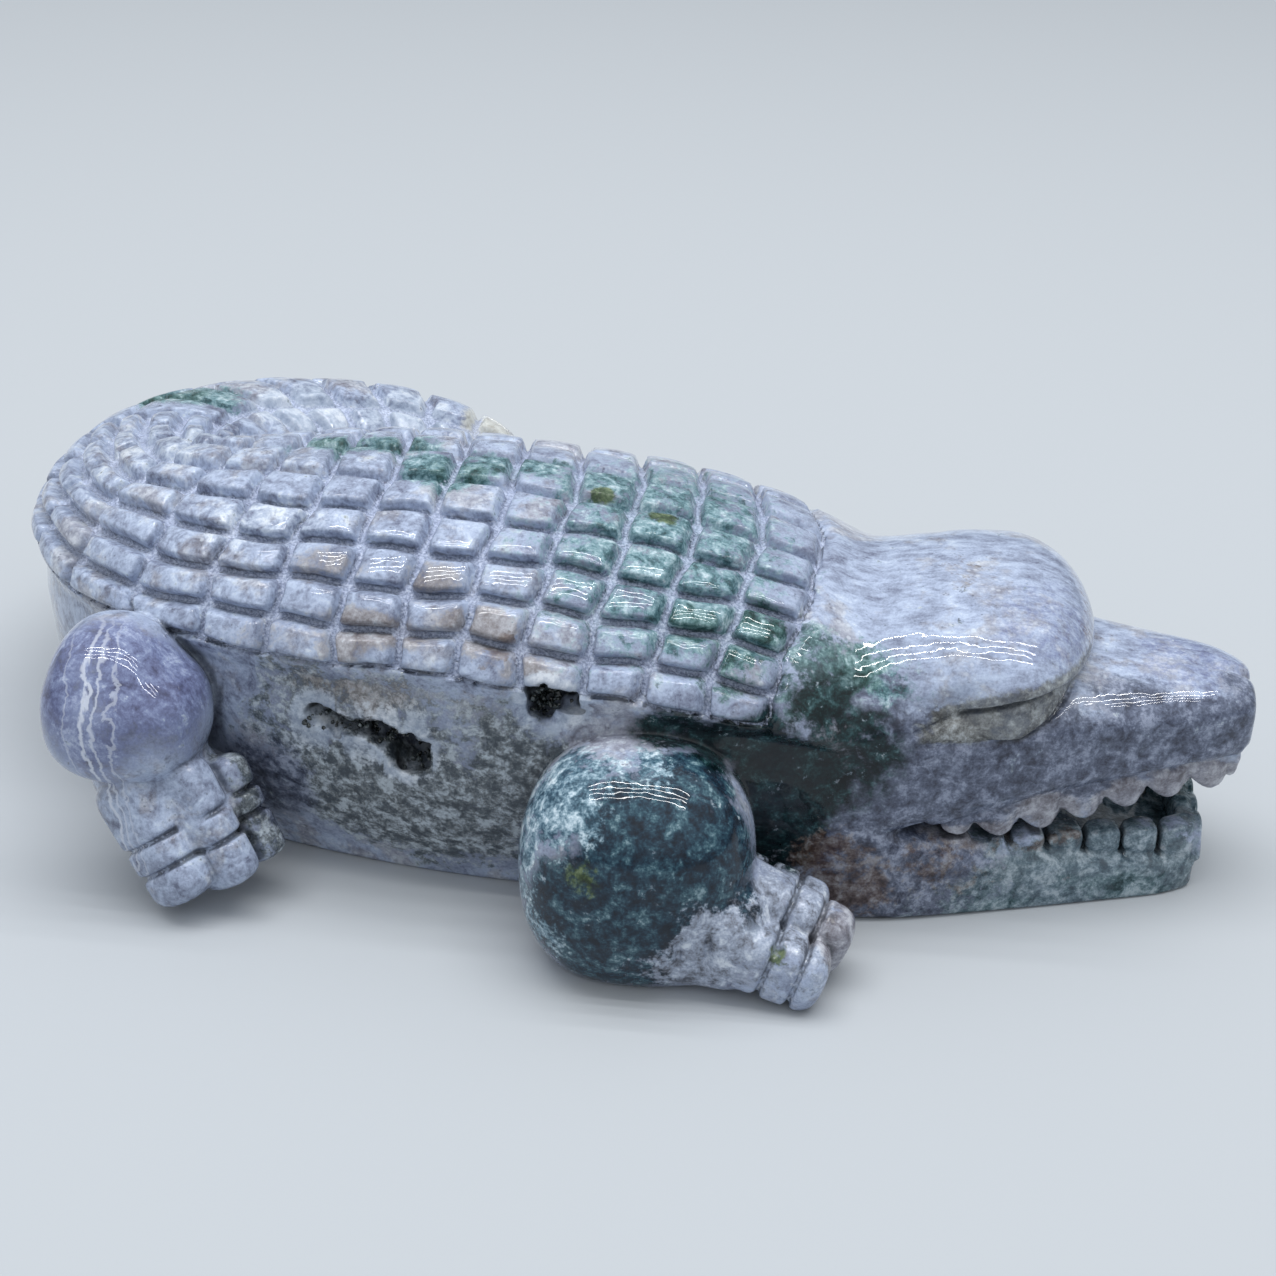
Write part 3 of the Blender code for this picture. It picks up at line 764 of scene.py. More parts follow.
def add_legs(field):
    add_leg(field, FRONT_MASSES, FRONT_HAND, FRONT_TOES)
    masses = [(flipped(centre), radii) for centre, radii in FRONT_MASSES]
    start, end, radii = FRONT_HAND
    toes = [(flipped(knuckle), flipped(tip), *rest) for knuckle, tip, *rest in FRONT_TOES]
    add_leg(field, masses, (flipped(start), flipped(end), radii), toes)
    add_leg(field, HIND_MASSES, HIND_HAND, HIND_TOES)
    masses = []
    for centre, radii in HIND_MASSES:
        moved = tuple(a + b for a, b in zip(flipped(centre), LEFT_HIND_SHIFT))
        masses.append((moved, radii))
    add_leg(field, masses, LEFT_HIND_HAND, LEFT_HIND_TOES)
    low, high = around([TOE_PIT[0]], 4.0)
    field.carve(ellipsoid(*TOE_PIT), low, high, TOE_PIT_BLEND)
    low, high = around([(WRIST_NICKS[0], -56.0, 9.0), (WRIST_NICKS[1], -50.0, 9.0)], 5.0)
    field.engrave(wrist_nicks, low, high)


def engrave_head(field, low, high):
    """Creases under the brow and the lid, along the lips, down the nose, and between the teeth."""
    field.engrave(along_rim(HOOD_RIM, *HOOD_CREASE), low, high)
    field.engrave(along_rim(LID_RIM, *LID_CREASE), low, high)
    lip, jaw = SKULL_STATIONS[:, (0, 3)], JAW_STATIONS[:, (0, 4)]

    def lips(x, y, z):
        upper = (z - height_along(lip, x) + LIP_CREASE_OFFSET) / LIP_CREASE_WIDTH
        lower = (z - height_along(jaw, x) - LIP_CREASE_OFFSET) / LIP_CREASE_WIDTH
        both = UPPER_LIP_CREASE * np.exp(-upper * upper) + LOWER_LIP_CREASE * np.exp(-lower * lower)
        return both * ramp(x, 49.0, 54.0) + 0 * y

    def nose(x, y, z):
        off = (y - NOSE_GROOVE_Y - NOSE_GROOVE_SLANT * (x - 98.0)) / NOSE_GROOVE_WIDTH
        return NOSE_GROOVE_DEPTH * np.exp(-off * off) * ramp(x, 89.0, 97.0) * ramp(z, 30.0, 34.0)

    def between_teeth(x, y, z):
        total = 0.0 * (x + y + z)
        lip_z, jaw_z = height_along(lip, x) - CLEAR_OF_LIP, height_along(jaw, x) + CLEAR_OF_JAW
        rows = (
            (UPPER_TEETH_FROM_X, height_along(UPPER_TIPS, x), lip_z, UPPER_TOOTH_CUT),
            (LOWER_TEETH_FROM_X, jaw_z, height_along(LOWER_TIPS, x), LOWER_TOOTH_CUT),
        )
        for from_x, bottom, top, depth in rows:
            held = ramp(z, bottom - 0.5, bottom + 0.5) * (1.0 - ramp(z, top - 0.5, top + 0.3))
            for k in range(SIDE_TEETH):
                off = (x - from_x + k * (from_x - TEETH_TO_X) / SIDE_TEETH) / TOOTH_CUT_WIDTH
                total = total + depth * np.exp(-off * off) * held
        return total

    field.engrave(between_teeth, low, high)
    field.engrave(lips, low, high)
    field.engrave(nose, low, high)


def ragged_hollow(hollows, seed):
    """A pocket: joined ellipsoids with an uneven wall."""

    def form(x, y, z):
        total = FAR
        for centre, radii, tilt in hollows:
            total = smooth_min(total, ellipsoid(centre, radii, tilt)(x, y, z), 1.0)
        points = np.stack(np.broadcast_arrays(x, y, z), axis=-1)
        rough = value_noise(points, 2.6, seed) + 0.5 * value_noise(points, 1.2, seed + 1)
        return total + POCKET_RAGGEDNESS * rough

    return form


def carve_pockets(field):
    """The two crystal pockets in the right flank."""
    for seed, hollows in zip(POCKET_SEEDS, (FLANK_POCKET, SHOULDER_POCKET)):
        low, high = around([centre for centre, _, _ in hollows], 12.0)
        field.carve(ragged_hollow(hollows, seed), low, high)


def build_field():
    field = Field(GRID_LOW, GRID_HIGH, VOXEL)
    plan = BackPlan(field)
    z = field.axes[2][None, None, :]
    back = back_form(plan, z)
    back[~plan.known] = FAR
    x = field.axes[0][:, None, None]
    front = (plan.s < 3.0)[..., None] & plan.known[..., None]
    back = np.where(front, -smooth_min(-back, NECK_END_X - x, NECK_ROUNDING), back)
    tip = (plan.s > len(BACK_STATIONS) - 4)[..., None] & plan.known[..., None]
    back = np.where(tip, -smooth_min(-back, TAIL_END_X - x, TAIL_TIP_ROUNDING), back)
    edge = scute_edge(plan.height)
    band = np.nonzero((np.abs(back) < 3.0) & (z > edge[..., None] - 2.0) & plan.known[..., None])
    stand_out, _ = scute_shape(plan, band, field.axes[2][band[2]].astype(float))
    back[band] -= stand_out
    field.values = back.astype(np.float32)
    head_low = (20.0, -40.0, GRID_LOW[2])
    field.join(head_form(SKULL_STATIONS, SKULL_SQUARENESS), head_low, GRID_HIGH, SKULL_BLEND)
    field.join(head_form(JAW_STATIONS, JAW_SQUARENESS), head_low, GRID_HIGH, JAW_BLEND)
    field.join(brow_form(BROW_LID, LID_RIM, LID_ROUNDING), head_low, GRID_HIGH, LID_BLEND)
    cut, x, y, z = field.window(head_low, GRID_HIGH)
    behind = 1.0 - ramp(x, 52.0, 70.0)
    above = ramp(z - height_along(HOOD_RIM, x), 1.0, 6.0)
    hood = brow_form(BROW_HOOD, HOOD_RIM, HOOD_ROUNDING)(x, y, z)
    blend = HOOD_BLEND + HOOD_BLEND_BEHIND * behind * above
    field.values[cut] = smooth_min(field.values[cut], hood, blend)
    add_teeth(field)
    engrave_head(field, (50.0, -40.0, GRID_LOW[2]), GRID_HIGH)
    add_legs(field)
    field.uncut = field.values.copy()
    carve_pockets(field)
    field.carve(lambda x, y, z: z + 0 * x + 0 * y, GRID_LOW, GRID_HIGH, FOOT_ROUNDING)
    return field, plan


def surface_net(field):
    """Vertices and quads of the surface where the field is zero, by naive surface nets."""
    values = field.values
    inside = values < 0
    cells = np.array(values.shape) - 1
    strides = np.array((cells[1] * cells[2], cells[2], 1))
    owners, points, flips = [], [], []
    for axis in range(3):
        lower = [slice(None)] * 3
        upper = [slice(None)] * 3
        lower[axis], upper[axis] = slice(None, -1), slice(1, None)
        crossing = np.nonzero(inside[tuple(lower)] != inside[tuple(upper)])
        corner = np.stack(crossing, axis=1)
        other = corner.copy()
        other[:, axis] += 1
        a, b = values[tuple(corner.T)], values[tuple(other.T)]
        point = corner.astype(float)
        point[:, axis] += a / (a - b)
        second, third = (axis + 1) % 3, (axis + 2) % 3
        ring = []
        for step_second, step_third in ((0, 0), (-1, 0), (-1, -1), (0, -1)):
            cell = corner.copy()
            cell[:, second] += step_second
            cell[:, third] += step_third
            ring.append(cell @ strides)
        owners.append(np.stack(ring, axis=1))
        points.append(point)
        flips.append(a < 0)
    owners, points, flips = np.concatenate(owners), np.concatenate(points), np.concatenate(flips)
    _, index = np.unique(owners.ravel(), return_inverse=True)
    index = index.reshape(-1)
    weight = np.bincount(index)
    columns = [np.bincount(index, np.repeat(points[:, k], 4)) / weight for k in range(3)]
    vertices = np.stack(columns, axis=1) * field.step + field.low
    quads = index.reshape(-1, 4)
    quads[~flips] = quads[~flips][:, ::-1]
    return vertices, quads


def settle(field, points, rounds=2):
    """Moves points onto the zero surface."""
    for _ in range(rounds):
        value = field.sample(points)
        slope = field.slope(points, 0.4)
        length = np.maximum((slope**2).sum(axis=1), 0.05)
        step = np.clip(value / length, -0.3, 0.3)
        points = points - slope * step[:, None]
    return points


def mesh_from_arrays(name, vertices, faces):
    mesh = bpy.data.meshes.new(name)
    count, corners = faces.shape
    mesh.vertices.add(len(vertices))
    mesh.vertices.foreach_set("co", (vertices * MM).astype(np.float32).ravel())
    mesh.loops.add(count * corners)
    mesh.loops.foreach_set("vertex_index", faces.astype(np.int32).ravel())
    mesh.polygons.add(count)
    mesh.polygons.foreach_set("loop_start", np.arange(0, count * corners, corners, dtype=np.int32))
    mesh.update(calc_edges=True)
    mesh.validate()
    return mesh


def placed(name, data):
    """A new object with this mesh, light or camera, linked to the scene."""
    obj = bpy.data.objects.new(name, data)
    bpy.context.scene.collection.objects.link(obj)
    return obj


def vertex_places(mesh):
    places = np.zeros(len(mesh.vertices) * 3, np.float32)
    mesh.vertices.foreach_get("co", places)
    return places.reshape(-1, 3).astype(float) / MM


def reduced(mesh, budget):
    """The mesh with fewer triangles, fine where it bends and coarse where it is flat."""
    obj = placed("reducing", mesh)
    triangles = len(mesh.loops) - 2 * len(mesh.polygons)
    modifier = obj.modifiers.new("Fewer", "DECIMATE")
    modifier.ratio = min(1.0, budget / triangles)
    modifier.use_collapse_triangulate = True
    evaluated = obj.evaluated_get(bpy.context.evaluated_depsgraph_get())
    made = bpy.data.meshes.new_from_object(evaluated)
    bpy.data.objects.remove(obj)
    bpy.data.meshes.remove(mesh)
    return made


def set_attribute(mesh, name, values):
    attribute = mesh.attributes.new(name, "FLOAT", "POINT")
    attribute.data.foreach_set("value", np.asarray(values, np.float32))


def carved_crocodile():
    field, plan = build_field()
    vertices, quads = surface_net(field)
    mesh = reduced(mesh_from_arrays("crocodile_fine", vertices, quads), TRIANGLE_BUDGET)
    places = settle(field, vertex_places(mesh))
    mesh.vertices.foreach_set("co", (places * MM).astype(np.float32).ravel())
    normals = field.slope(places, 0.3)
    normals /= np.maximum(np.linalg.norm(normals, axis=1, keepdims=True), 1e-6)
    mesh.polygons.foreach_set("use_smooth", np.ones(len(mesh.polygons), bool))
    mesh.normals_split_custom_set_from_vertices(normals.tolist())
    paint_regions(mesh, places, normals, field, plan)
    return placed("carved_crocodile", mesh)


# Where each kind of stone, or of painted shade, shows: (x, y, z), (reach along x, y, z), strength.
REGIONS = {
    "rough": (
        ((-44, 8, 57), (34, 12, 8), 0.8),
        ((-83, 50, 46), (16, 12, 8), 0.9),
        ((0, 2, 57), (26, 10, 8), 0.6),
        ((-30, -32, 14), (34, 9, 16), 0.55),
        ((-28, -31, 30), (18, 6, 8), 0.8),
        ((33, 10, 50), (8, 20, 8), 0.5),
    ),
    "moss": (
        ((-83, 50, 46), (13, 9, 8), 1.0),
        ((-46, 10, 56), (10, 6, 6), 0.85),
        ((-35, 8, 57), (10, 6, 6), 0.9),
        ((-25, -2, 58), (10, 8, 6), 0.9),
        ((-14, 2, 58), (12, 6, 6), 0.8),
        ((0, 0, 57), (11, 7, 6), 0.75),
        ((10, -10, 52), (27, 36, 18), 0.66),
        ((10, -15, 56), (10, 8, 6), 0.85),
        ((44, -26, 41), (11, 8, 7), 0.55),
        ((18, 3, 55), (12, 9, 6), 0.7),
        ((16, -26, 49), (10, 9, 8), 0.85),
        ((25, -27, 46), (7, 9, 9), 0.9),
        ((66, -24, 2), (18, 5, 4), 0.75),
        ((86, -18, 3), (14, 7, 4), 0.8),
        ((90, 0, 10), (12, 9, 9), 0.9),
    ),
    "fern": (
        ((24, -30, 43), (9, 8, 8), 0.55),
        ((38, -27, 43), (10, 8, 8), 0.8),
        ((17, -27, 48), (7, 5, 5), 0.7),
        ((27, -24, 47), (6, 7, 6), 0.8),
        ((35, -31, 38), (8, 7, 6), 0.7),
        ((-23, -2, 58), (7, 5, 6), 0.6),
        ((-46, 10, 57), (9, 5, 6), 0.7),
        ((-85, 50, 46), (7, 6, 6), 0.7),
        ((-35, 8, 57), (7, 5, 6), 0.6),
    ),
    "night": (
        ((25, -32, 33), (13, 9, 7), 1.0),
        ((32, -31, 27), (12, 9, 13), 1.0),
        ((14, -34, 35), (12, 7, 5), 0.7),
        ((37, -30, 38), (8, 7, 8), 0.8),
        ((30, -31, 18), (12, 8, 12), 1.0),
        ((43, -30, 32), (10, 8, 7), 0.7),
        ((42, -29, 24), (9, 8, 10), 0.5),
    ),
    "deep": (
        ((16, -50, 22), (19, 14, 19), 1.0),
        ((8, -53, 12), (19, 14, 16), 1.0),
        ((19, -42, 31), (9, 8, 6), 0.9),
    ),
    "frost": (
        ((1, -46, 29), (10, 11, 9), 1.0),
        ((-4, -44, 20), (5, 9, 12), 0.8),
        ((10, -43, 32), (8, 6, 5), 0.6),
        ((-3, -50, 9), (8, 9, 8), 0.55),
    ),
    "hand": (
        ((33, -44, 9), (14, 13, 11), 1.0),
        ((22, -51, 9), (10, 8, 10), 1.0),
    ),
    "beige": (
        ((41, -45, 7), (7, 9, 8), 0.9),
        ((82, -19, 17.5), (26, 8, 4.5), 1.0),
        ((60, -26, 14.5), (10, 6, 3), 0.9),
        ((95, -14, 20.5), (11, 9, 4.5), 1.0),
    ),
    "violet": (
        ((-68, -35, 32), (17, 14, 16), 1.0),
        ((92, -6, 35), (18, 14, 6), 0.5),
        ((66, -12, 44), (18, 18, 8), 0.5),
    ),
    # Painted shade: a darker violet-grey laid on the right sides of head, jaw, neck and hind flank, which
    # face away from the light.
    "side_shade": (
        ((76, -22, 27), (37, 13, 11), 1.0),
        ((90, -17, 32), (19, 9, 8), 1.0),
        ((54, -29, 22), (26, 11, 15), 1.0),
        ((44, -30, 20), (13, 9, 13), 1.0),
        ((50, -28, 32), (10, 6, 7), 0.8),
        ((43, -29, 39), (11, 8, 8), 0.9),
        ((97, -13, 30), (9, 9, 8), 0.85),
        ((52, -29, 8), (18, 9, 13), 1.0),
        ((-50, -29, 12), (12, 7, 13), 1.0),
    ),
    "jaw": (
        ((76, -18, 4), (44, 14, 13), 1.0),
        ((88, 0, 6), (26, 18, 12), 1.0),
    ),
    # Painted shade: a near-black teal laid in the mouth between the jaws, where shade falls.
    "mouth_shade": (
        ((84, -4, 15), (22, 15, 6), 1.0),
        ((64, -8, 15), (16, 16, 5), 1.0),
    ),
    "salt": (
        ((-30, -32, 16), (36, 9, 20), 1.0),
        ((-32, -31, 32), (26, 7, 9), 0.75),
        ((-8, -33, 25), (12, 8, 16), 0.95),
        ((48, -29, 9), (14, 8, 11), 0.8),
    ),
    "tan": (
        ((-22, -27, 52), (7, 6, 4), 0.7),
        ((-14, -32, 48), (8, 5, 4), 0.9),
        ((-47, -31, 42), (9, 6, 5), 0.4),
        ((-30, -32, 45), (12, 5, 5), 0.8),
        ((-37, -23, 52), (8, 5, 4), 0.6),
        ((-4, -35, 42), (7, 5, 4), 0.7),
        ((-30, -31, 34), (20, 6, 5), 0.6),
        ((40, -46, 8), (6, 8, 6), 0.6),
        ((50, -29, 8), (12, 5, 7), 0.6),
    ),
    "rust": (
        ((43, -31, 7), (9, 6, 8), 0.8),
        ((54, -3, 47), (9, 6, 4), 0.35),
        ((76, -6, 45), (4, 8, 6), 0.35),
        ((-10, -33, 45), (3, 3, 3), 0.9),
        ((56, -28, 9), (10, 6, 6), 0.5),
        ((38, -30, 14), (7, 5, 6), 0.75),
        ((74, -22, 11.5), (14, 5, 2.4), 0.6),
    ),
    "pale": (
        ((-62, 55, 43), (14, 12, 7), 0.9),
        ((-45, 66, 40), (14, 12, 8), 0.8),
        ((-75, 15, 50), (22, 20, 8), 0.5),
        ((-50, -14, 53), (18, 9, 6), 0.5),
        ((30, -50, 13), (9, 8, 7), 0.7),
    ),
    "cream": (((-30, 74, 32), (9, 9, 9), 1.0),),
    "olive": (
        ((0.6, -4.7, 58), (3, 2.4, 3), 1.0),
        ((10.5, -8.0, 57), (3.4, 2.6, 3), 1.0),
        ((5, -53, 21), (4, 6, 4), 0.55),
        ((32.6, -53.5, 10.4), (1.7, 2.4, 2.2), 1.0),
    ),
}


# These spots keep their exact place, and the others' edges are stirred by noise of this size and reach.
UNSTIRRED = ("olive",)
STIR_SIZE = 7.0
STIR_REACH = 2.6
STREAKS_FROM_X = (24.0, 36.0)
CREASE_REACH = 1.2
LINING_AT = 1.0
LINING_WIDTH = 1.1
# The sandy band between the rims of lid and hood: heights from each rim, ends along X and reach aside.
BAND_ABOVE_LID = (-1.2, 1.6)
BAND_ABOVE_HOOD = (0.8, 4.4)
BAND_STARTS = (45.0, 58.0)
BAND_ENDS = (76.0, 80.0)
BAND_ASIDE = (8.0, 14.0)
VEINED = (((-68, -38, 26), (14, 14, 24), 1.0), ((-62, -40, 10), (12, 12, 12), 0.9))


def region_weight(places, spots):
    total = np.zeros(len(places))
    for centre, reach, strength in spots:
        away = np.sqrt((((places - centre) / reach) ** 2).sum(axis=1))
        total = np.maximum(total, strength * (1.0 - ramp(away, 0.35, 1.25)))
    return total


def lining_weight(places):
    """A band around the mouth of each pocket."""
    x, y, z = places.T
    total = np.zeros(len(places))
    for hollows in (FLANK_POCKET, SHOULDER_POCKET):
        nearest = np.full(len(places), FAR)
        for centre, radii, tilt in hollows:
            near = (np.abs(places - centre) < 14.0).all(axis=1)
            form = ellipsoid(centre, radii, tilt)(x, y, z)
            nearest = np.where(near, np.minimum(nearest, form), nearest)
        total = np.maximum(total, np.exp(-(((nearest - LINING_AT) / LINING_WIDTH) ** 2)))
    return total


def groove_weight(places, field, plan):
    """How much of each point lies in a groove between scutes."""
    i, j = (
        np.clip(np.rint((places[:, k] - field.low[k]) / field.step).astype(int), 0, plan.s.shape[k] - 1)
        for k in (0, 1)
    )
    _, groove = scute_shape(plan, (i, j, None), places[:, 2])
    on_back = plan.known[i, j] & (np.abs(plan.u[i, j]) < 1.05)
    on_back &= places[:, 2] > scute_edge(plan.height[i, j]) - 1.0
    return np.where(on_back, groove, 0.0)


def band_weight(places):
    """The sandy band between the rims of lid and hood, on the right side."""
    x, y, z = places.T
    lid_z, hood_z = height_along(LID_RIM, x), height_along(HOOD_RIM, x)
    band = ramp(z, *(lid_z + rise for rise in BAND_ABOVE_LID))
    band = band * (1.0 - ramp(z, *(hood_z + rise for rise in BAND_ABOVE_HOOD)))
    band = band * ramp(x, *BAND_STARTS) * (1.0 - ramp(x, *BAND_ENDS))
    return band * ramp(-y, *BAND_ASIDE)


def paint_regions(mesh, places, normals, field, plan):
    """Stores on the vertices how much of each kind of stone and of painted shade shows, and where grooves
    keep powder.
    """
    stir = np.stack([value_noise(places, STIR_SIZE, seed) for seed in STIR_SEEDS], axis=1)
    stirred = places + STIR_REACH * stir
    for name, spots in REGIONS.items():
        set_attribute(mesh, name, region_weight(places if name in UNSTIRRED else stirred, spots))
    set_attribute(mesh, "powder", groove_weight(places, field, plan))
    set_attribute(mesh, "streak", ramp(places[:, 0], *STREAKS_FROM_X))
    set_attribute(mesh, "rim", band_weight(places))
    # How hollow each point is, for painted shade in the creases.
    crease_shade = 1.0 - field.sample(places + CREASE_REACH * normals) / CREASE_REACH
    set_attribute(mesh, "crease_shade", np.clip(crease_shade, 0.0, 1.0))
    # Painted shade in the pockets: dark inside, less of it on walls that face up to the light.
    lit = ramp(normals[:, 2], 0.15, 0.7)
    set_attribute(mesh, "shaded_pocket", ramp(-field.sample(places, field.uncut), 0.4, 2.0) * (1.0 - 0.55 * lit))
    set_attribute(mesh, "lining", lining_weight(places))
    set_attribute(mesh, "veined", region_weight(places, VEINED))


RANGE_SOCKETS = ("From Min", "From Max", "To Min", "To Max")


class Graph:
    """A material's nodes, made and linked in short calls."""

    def __init__(self, name):
        self.material = bpy.data.materials.new(name)
        self.material.use_nodes = True
        self.tree = self.material.node_tree
        self.shader = self.tree.nodes["Principled BSDF"]
        self.place = self.node("ShaderNodeTexCoord").outputs["Object"]

    def node(self, kind, **settings):
        made = self.tree.nodes.new(kind)
        for name, value in settings.items():
            setattr(made, name, value)
        return made

    def feed(self, socket, value):
        if isinstance(value, bpy.types.NodeSocket):
            self.tree.links.new(value, socket)
        else:
            socket.default_value = value

    def noise(self, size, detail=3.0, roughness=0.5, distortion=0.0, place=None):
        """Noise from 0 to 1 with features about size millimetres wide."""
        made = self.node("ShaderNodeTexNoise")
        self.feed(made.inputs["Vector"], place or self.place)
        self.feed(made.inputs["Scale"], 1.0 / (size * MM))
        self.feed(made.inputs["Detail"], detail)
        self.feed(made.inputs["Roughness"], roughness)
        self.feed(made.inputs["Distortion"], distortion)
        return made.outputs["Fac"]

    def cells(self, size):
        """The distance to the nearest of points about size millimetres apart."""
        made = self.node("ShaderNodeTexVoronoi")
        self.feed(made.inputs["Vector"], self.place)
        self.feed(made.inputs["Scale"], 1.0 / (size * MM))
        return made.outputs["Distance"]

    def math(self, operation, *values):
        made = self.node("ShaderNodeMath", operation=operation)
        for socket, value in zip(made.inputs, values):
            self.feed(socket, value)
        return made.outputs[0]

    def add_up(self, *parts):
        """The sum of (value, weight) parts."""
        total = None
        for value, weight in parts:
            scaled = self.math("MULTIPLY", value, weight)
            total = scaled if total is None else self.math("ADD", total, scaled)
        return total

    def stronger(self, value, times):
        """value with its distance from 0.5 multiplied."""
        return self.math("MULTIPLY_ADD", self.math("SUBTRACT", value, 0.5), times, 0.5)

    def span(self, value, low, high, start=0.0, end=1.0):
        """value carried smoothly from low..high to start..end."""
        made = self.node("ShaderNodeMapRange", interpolation_type="SMOOTHSTEP")
        self.feed(made.inputs["Value"], value)
        for name, part in zip(RANGE_SOCKETS, (low, high, start, end)):
            self.feed(made.inputs[name], part)
        return made.outputs["Result"]

    def colours(self, value, stops):
        """A colour ramp through (position, sRGB colour from 0 to 255) stops."""
        made = self.node("ShaderNodeValToRGB")
        elements = made.color_ramp.elements
        while len(elements) < len(stops):
            elements.new(0.5)
        for element, (position, colour) in zip(elements, stops):
            element.position = position
            element.color = linear(colour)
        self.feed(made.inputs["Fac"], value)
        return made.outputs["Color"]

    def mix(self, share, a, b):
        made = self.node("ShaderNodeMix", data_type="RGBA")
        self.feed(made.inputs["Factor"], share)
        self.feed(made.inputs["A"], a)
        self.feed(made.inputs["B"], b)
        return made.outputs["Result"]

    def blend_number(self, share, a, b):
        made = self.node("ShaderNodeMix", data_type="FLOAT")
        self.feed(made.inputs[0], share)
        self.feed(made.inputs[2], a)
        self.feed(made.inputs[3], b)
        return made.outputs[0]

    def attribute(self, name):
        return self.node("ShaderNodeAttribute", attribute_name=name).outputs["Fac"]

    def region(self, name, stir, raggedness):
        """Where a kind of stone shows, with an edge broken up by a noise around 0.5."""
        shifted = self.math("MULTIPLY_ADD", stir, raggedness, -0.5 * raggedness)
        return self.span(self.math("ADD", self.attribute(name), shifted), 0.3, 0.7)

    def along(self, direction):
        """How far the place lies along a direction, in millimetres."""
        made = self.node("ShaderNodeVectorMath", operation="DOT_PRODUCT")
        self.feed(made.inputs[0], self.place)
        self.feed(made.inputs[1], tuple(part / MM for part in direction))
        return made.outputs["Value"]

    def stretched(self, x, y, z):
        made = self.node("ShaderNodeVectorMath", operation="MULTIPLY")
        self.feed(made.inputs[0], self.place)
        self.feed(made.inputs[1], (x, y, z))
        return made.outputs[0]


def linear(colour):
    """A linear colour from an sRGB one given from 0 to 255."""
    parts = [c / 255.0 for c in colour]
    return tuple(c / 12.92 if c <= 0.04045 else ((c + 0.055) / 1.055) ** 2.4 for c in parts) + (1.0,)


# The stone's colours, each as stops of a ramp over a mottle around 0.5.
LAVENDER = (
    (0.32, (98, 104, 126)),
    (0.43, (138, 148, 170)),
    (0.5, (158, 170, 194)),
    (0.57, (174, 187, 209)),
    (0.68, (208, 217, 228)),
)
TAUPE = ((0.34, (92, 88, 92)), (0.44, (120, 118, 126)), (0.53, (146, 146, 154)), (0.64, (178, 180, 188)))
SALT = (
    (0.4, (44, 52, 56)),
    (0.46, (72, 80, 84)),
    (0.5, (98, 104, 106)),
    (0.54, (124, 132, 138)),
    (0.62, (170, 180, 188)),
)
VIOLET = ((0.34, (66, 68, 94)), (0.45, (92, 98, 132)), (0.54, (114, 124, 158)), (0.66, (160, 170, 198)))
TAN = ((0.34, (88, 76, 70)), (0.45, (120, 112, 108)), (0.54, (146, 142, 142)), (0.65, (182, 182, 188)))
RUST = ((0.36, (52, 36, 30)), (0.46, (84, 66, 58)), (0.54, (108, 96, 90)), (0.66, (140, 136, 136)))
PALE = ((0.34, (138, 150, 170)), (0.45, (164, 176, 194)), (0.54, (186, 196, 210)), (0.64, (214, 220, 228)))
MOSS = (
    (0.34, (26, 58, 60)),
    (0.43, (62, 98, 104)),
    (0.5, (100, 134, 142)),
    (0.57, (134, 162, 170)),
    (0.66, (178, 198, 206)),
)
DEEP = (
    (0.36, (2, 16, 27)),
    (0.45, (8, 33, 48)),
    (0.53, (30, 60, 75)),
    (0.61, (62, 94, 105)),
    (0.7, (128, 152, 161)),
)
NIGHT = (
    (0.38, (0, 10, 13)),
    (0.48, (3, 24, 27)),
    (0.56, (18, 44, 46)),
    (0.64, (44, 74, 78)),
    (0.74, (92, 118, 122)),
)
# Painted shade laid in the pockets.
HOLLOW_SHADE = ((0.36, (8, 9, 10)), (0.5, (28, 31, 34)), (0.62, (58, 64, 66)))
CREAM = ((0.36, (158, 156, 148)), (0.5, (190, 192, 188)), (0.64, (212, 214, 210)))
OLIVE = ((0.36, (30, 40, 16)), (0.5, (60, 76, 40)), (0.64, (106, 120, 80)))
DUST = ((0.34, (118, 126, 150)), (0.46, (150, 160, 186)), (0.56, (176, 186, 210)), (0.68, (204, 212, 228)))
FERN = (
    (0.34, (14, 40, 36)),
    (0.45, (44, 76, 74)),
    (0.53, (78, 110, 110)),
    (0.62, (122, 150, 152)),
    (0.7, (170, 192, 196)),
)
FROST = (
    (0.38, (34, 60, 76)),
    (0.46, (74, 104, 120)),
    (0.53, (126, 152, 166)),
    (0.6, (178, 198, 210)),
    (0.68, (214, 226, 232)),
)
# Painted shade on the sides that face away from the light, in a darker violet-grey.
SIDE_SHADE = ((0.34, (40, 42, 56)), (0.44, (70, 76, 94)), (0.53, (98, 106, 126)), (0.64, (142, 150, 170)))
JAW = ((0.36, (30, 50, 54)), (0.46, (74, 96, 103)), (0.54, (112, 130, 138)), (0.64, (160, 174, 182)))
SAND = ((0.36, (56, 54, 46)), (0.46, (90, 90, 82)), (0.55, (132, 134, 128)), (0.66, (170, 176, 176)))
HAND = ((0.36, (84, 88, 98)), (0.44, (126, 133, 147)), (0.54, (158, 168, 187)), (0.66, (204, 212, 222)))
QUARTZ = ((0.34, (16, 20, 21)), (0.5, (44, 50, 51)), (0.6, (84, 92, 94)), (0.7, (150, 158, 162)))
PALE_EYE = (212, 220, 230)
DARK_GRAIN = (60, 68, 78)
VEIN = (206, 212, 224)
# Painted shade laid in the creases.
CREASE_SHADE_COLOUR = (44, 48, 54)
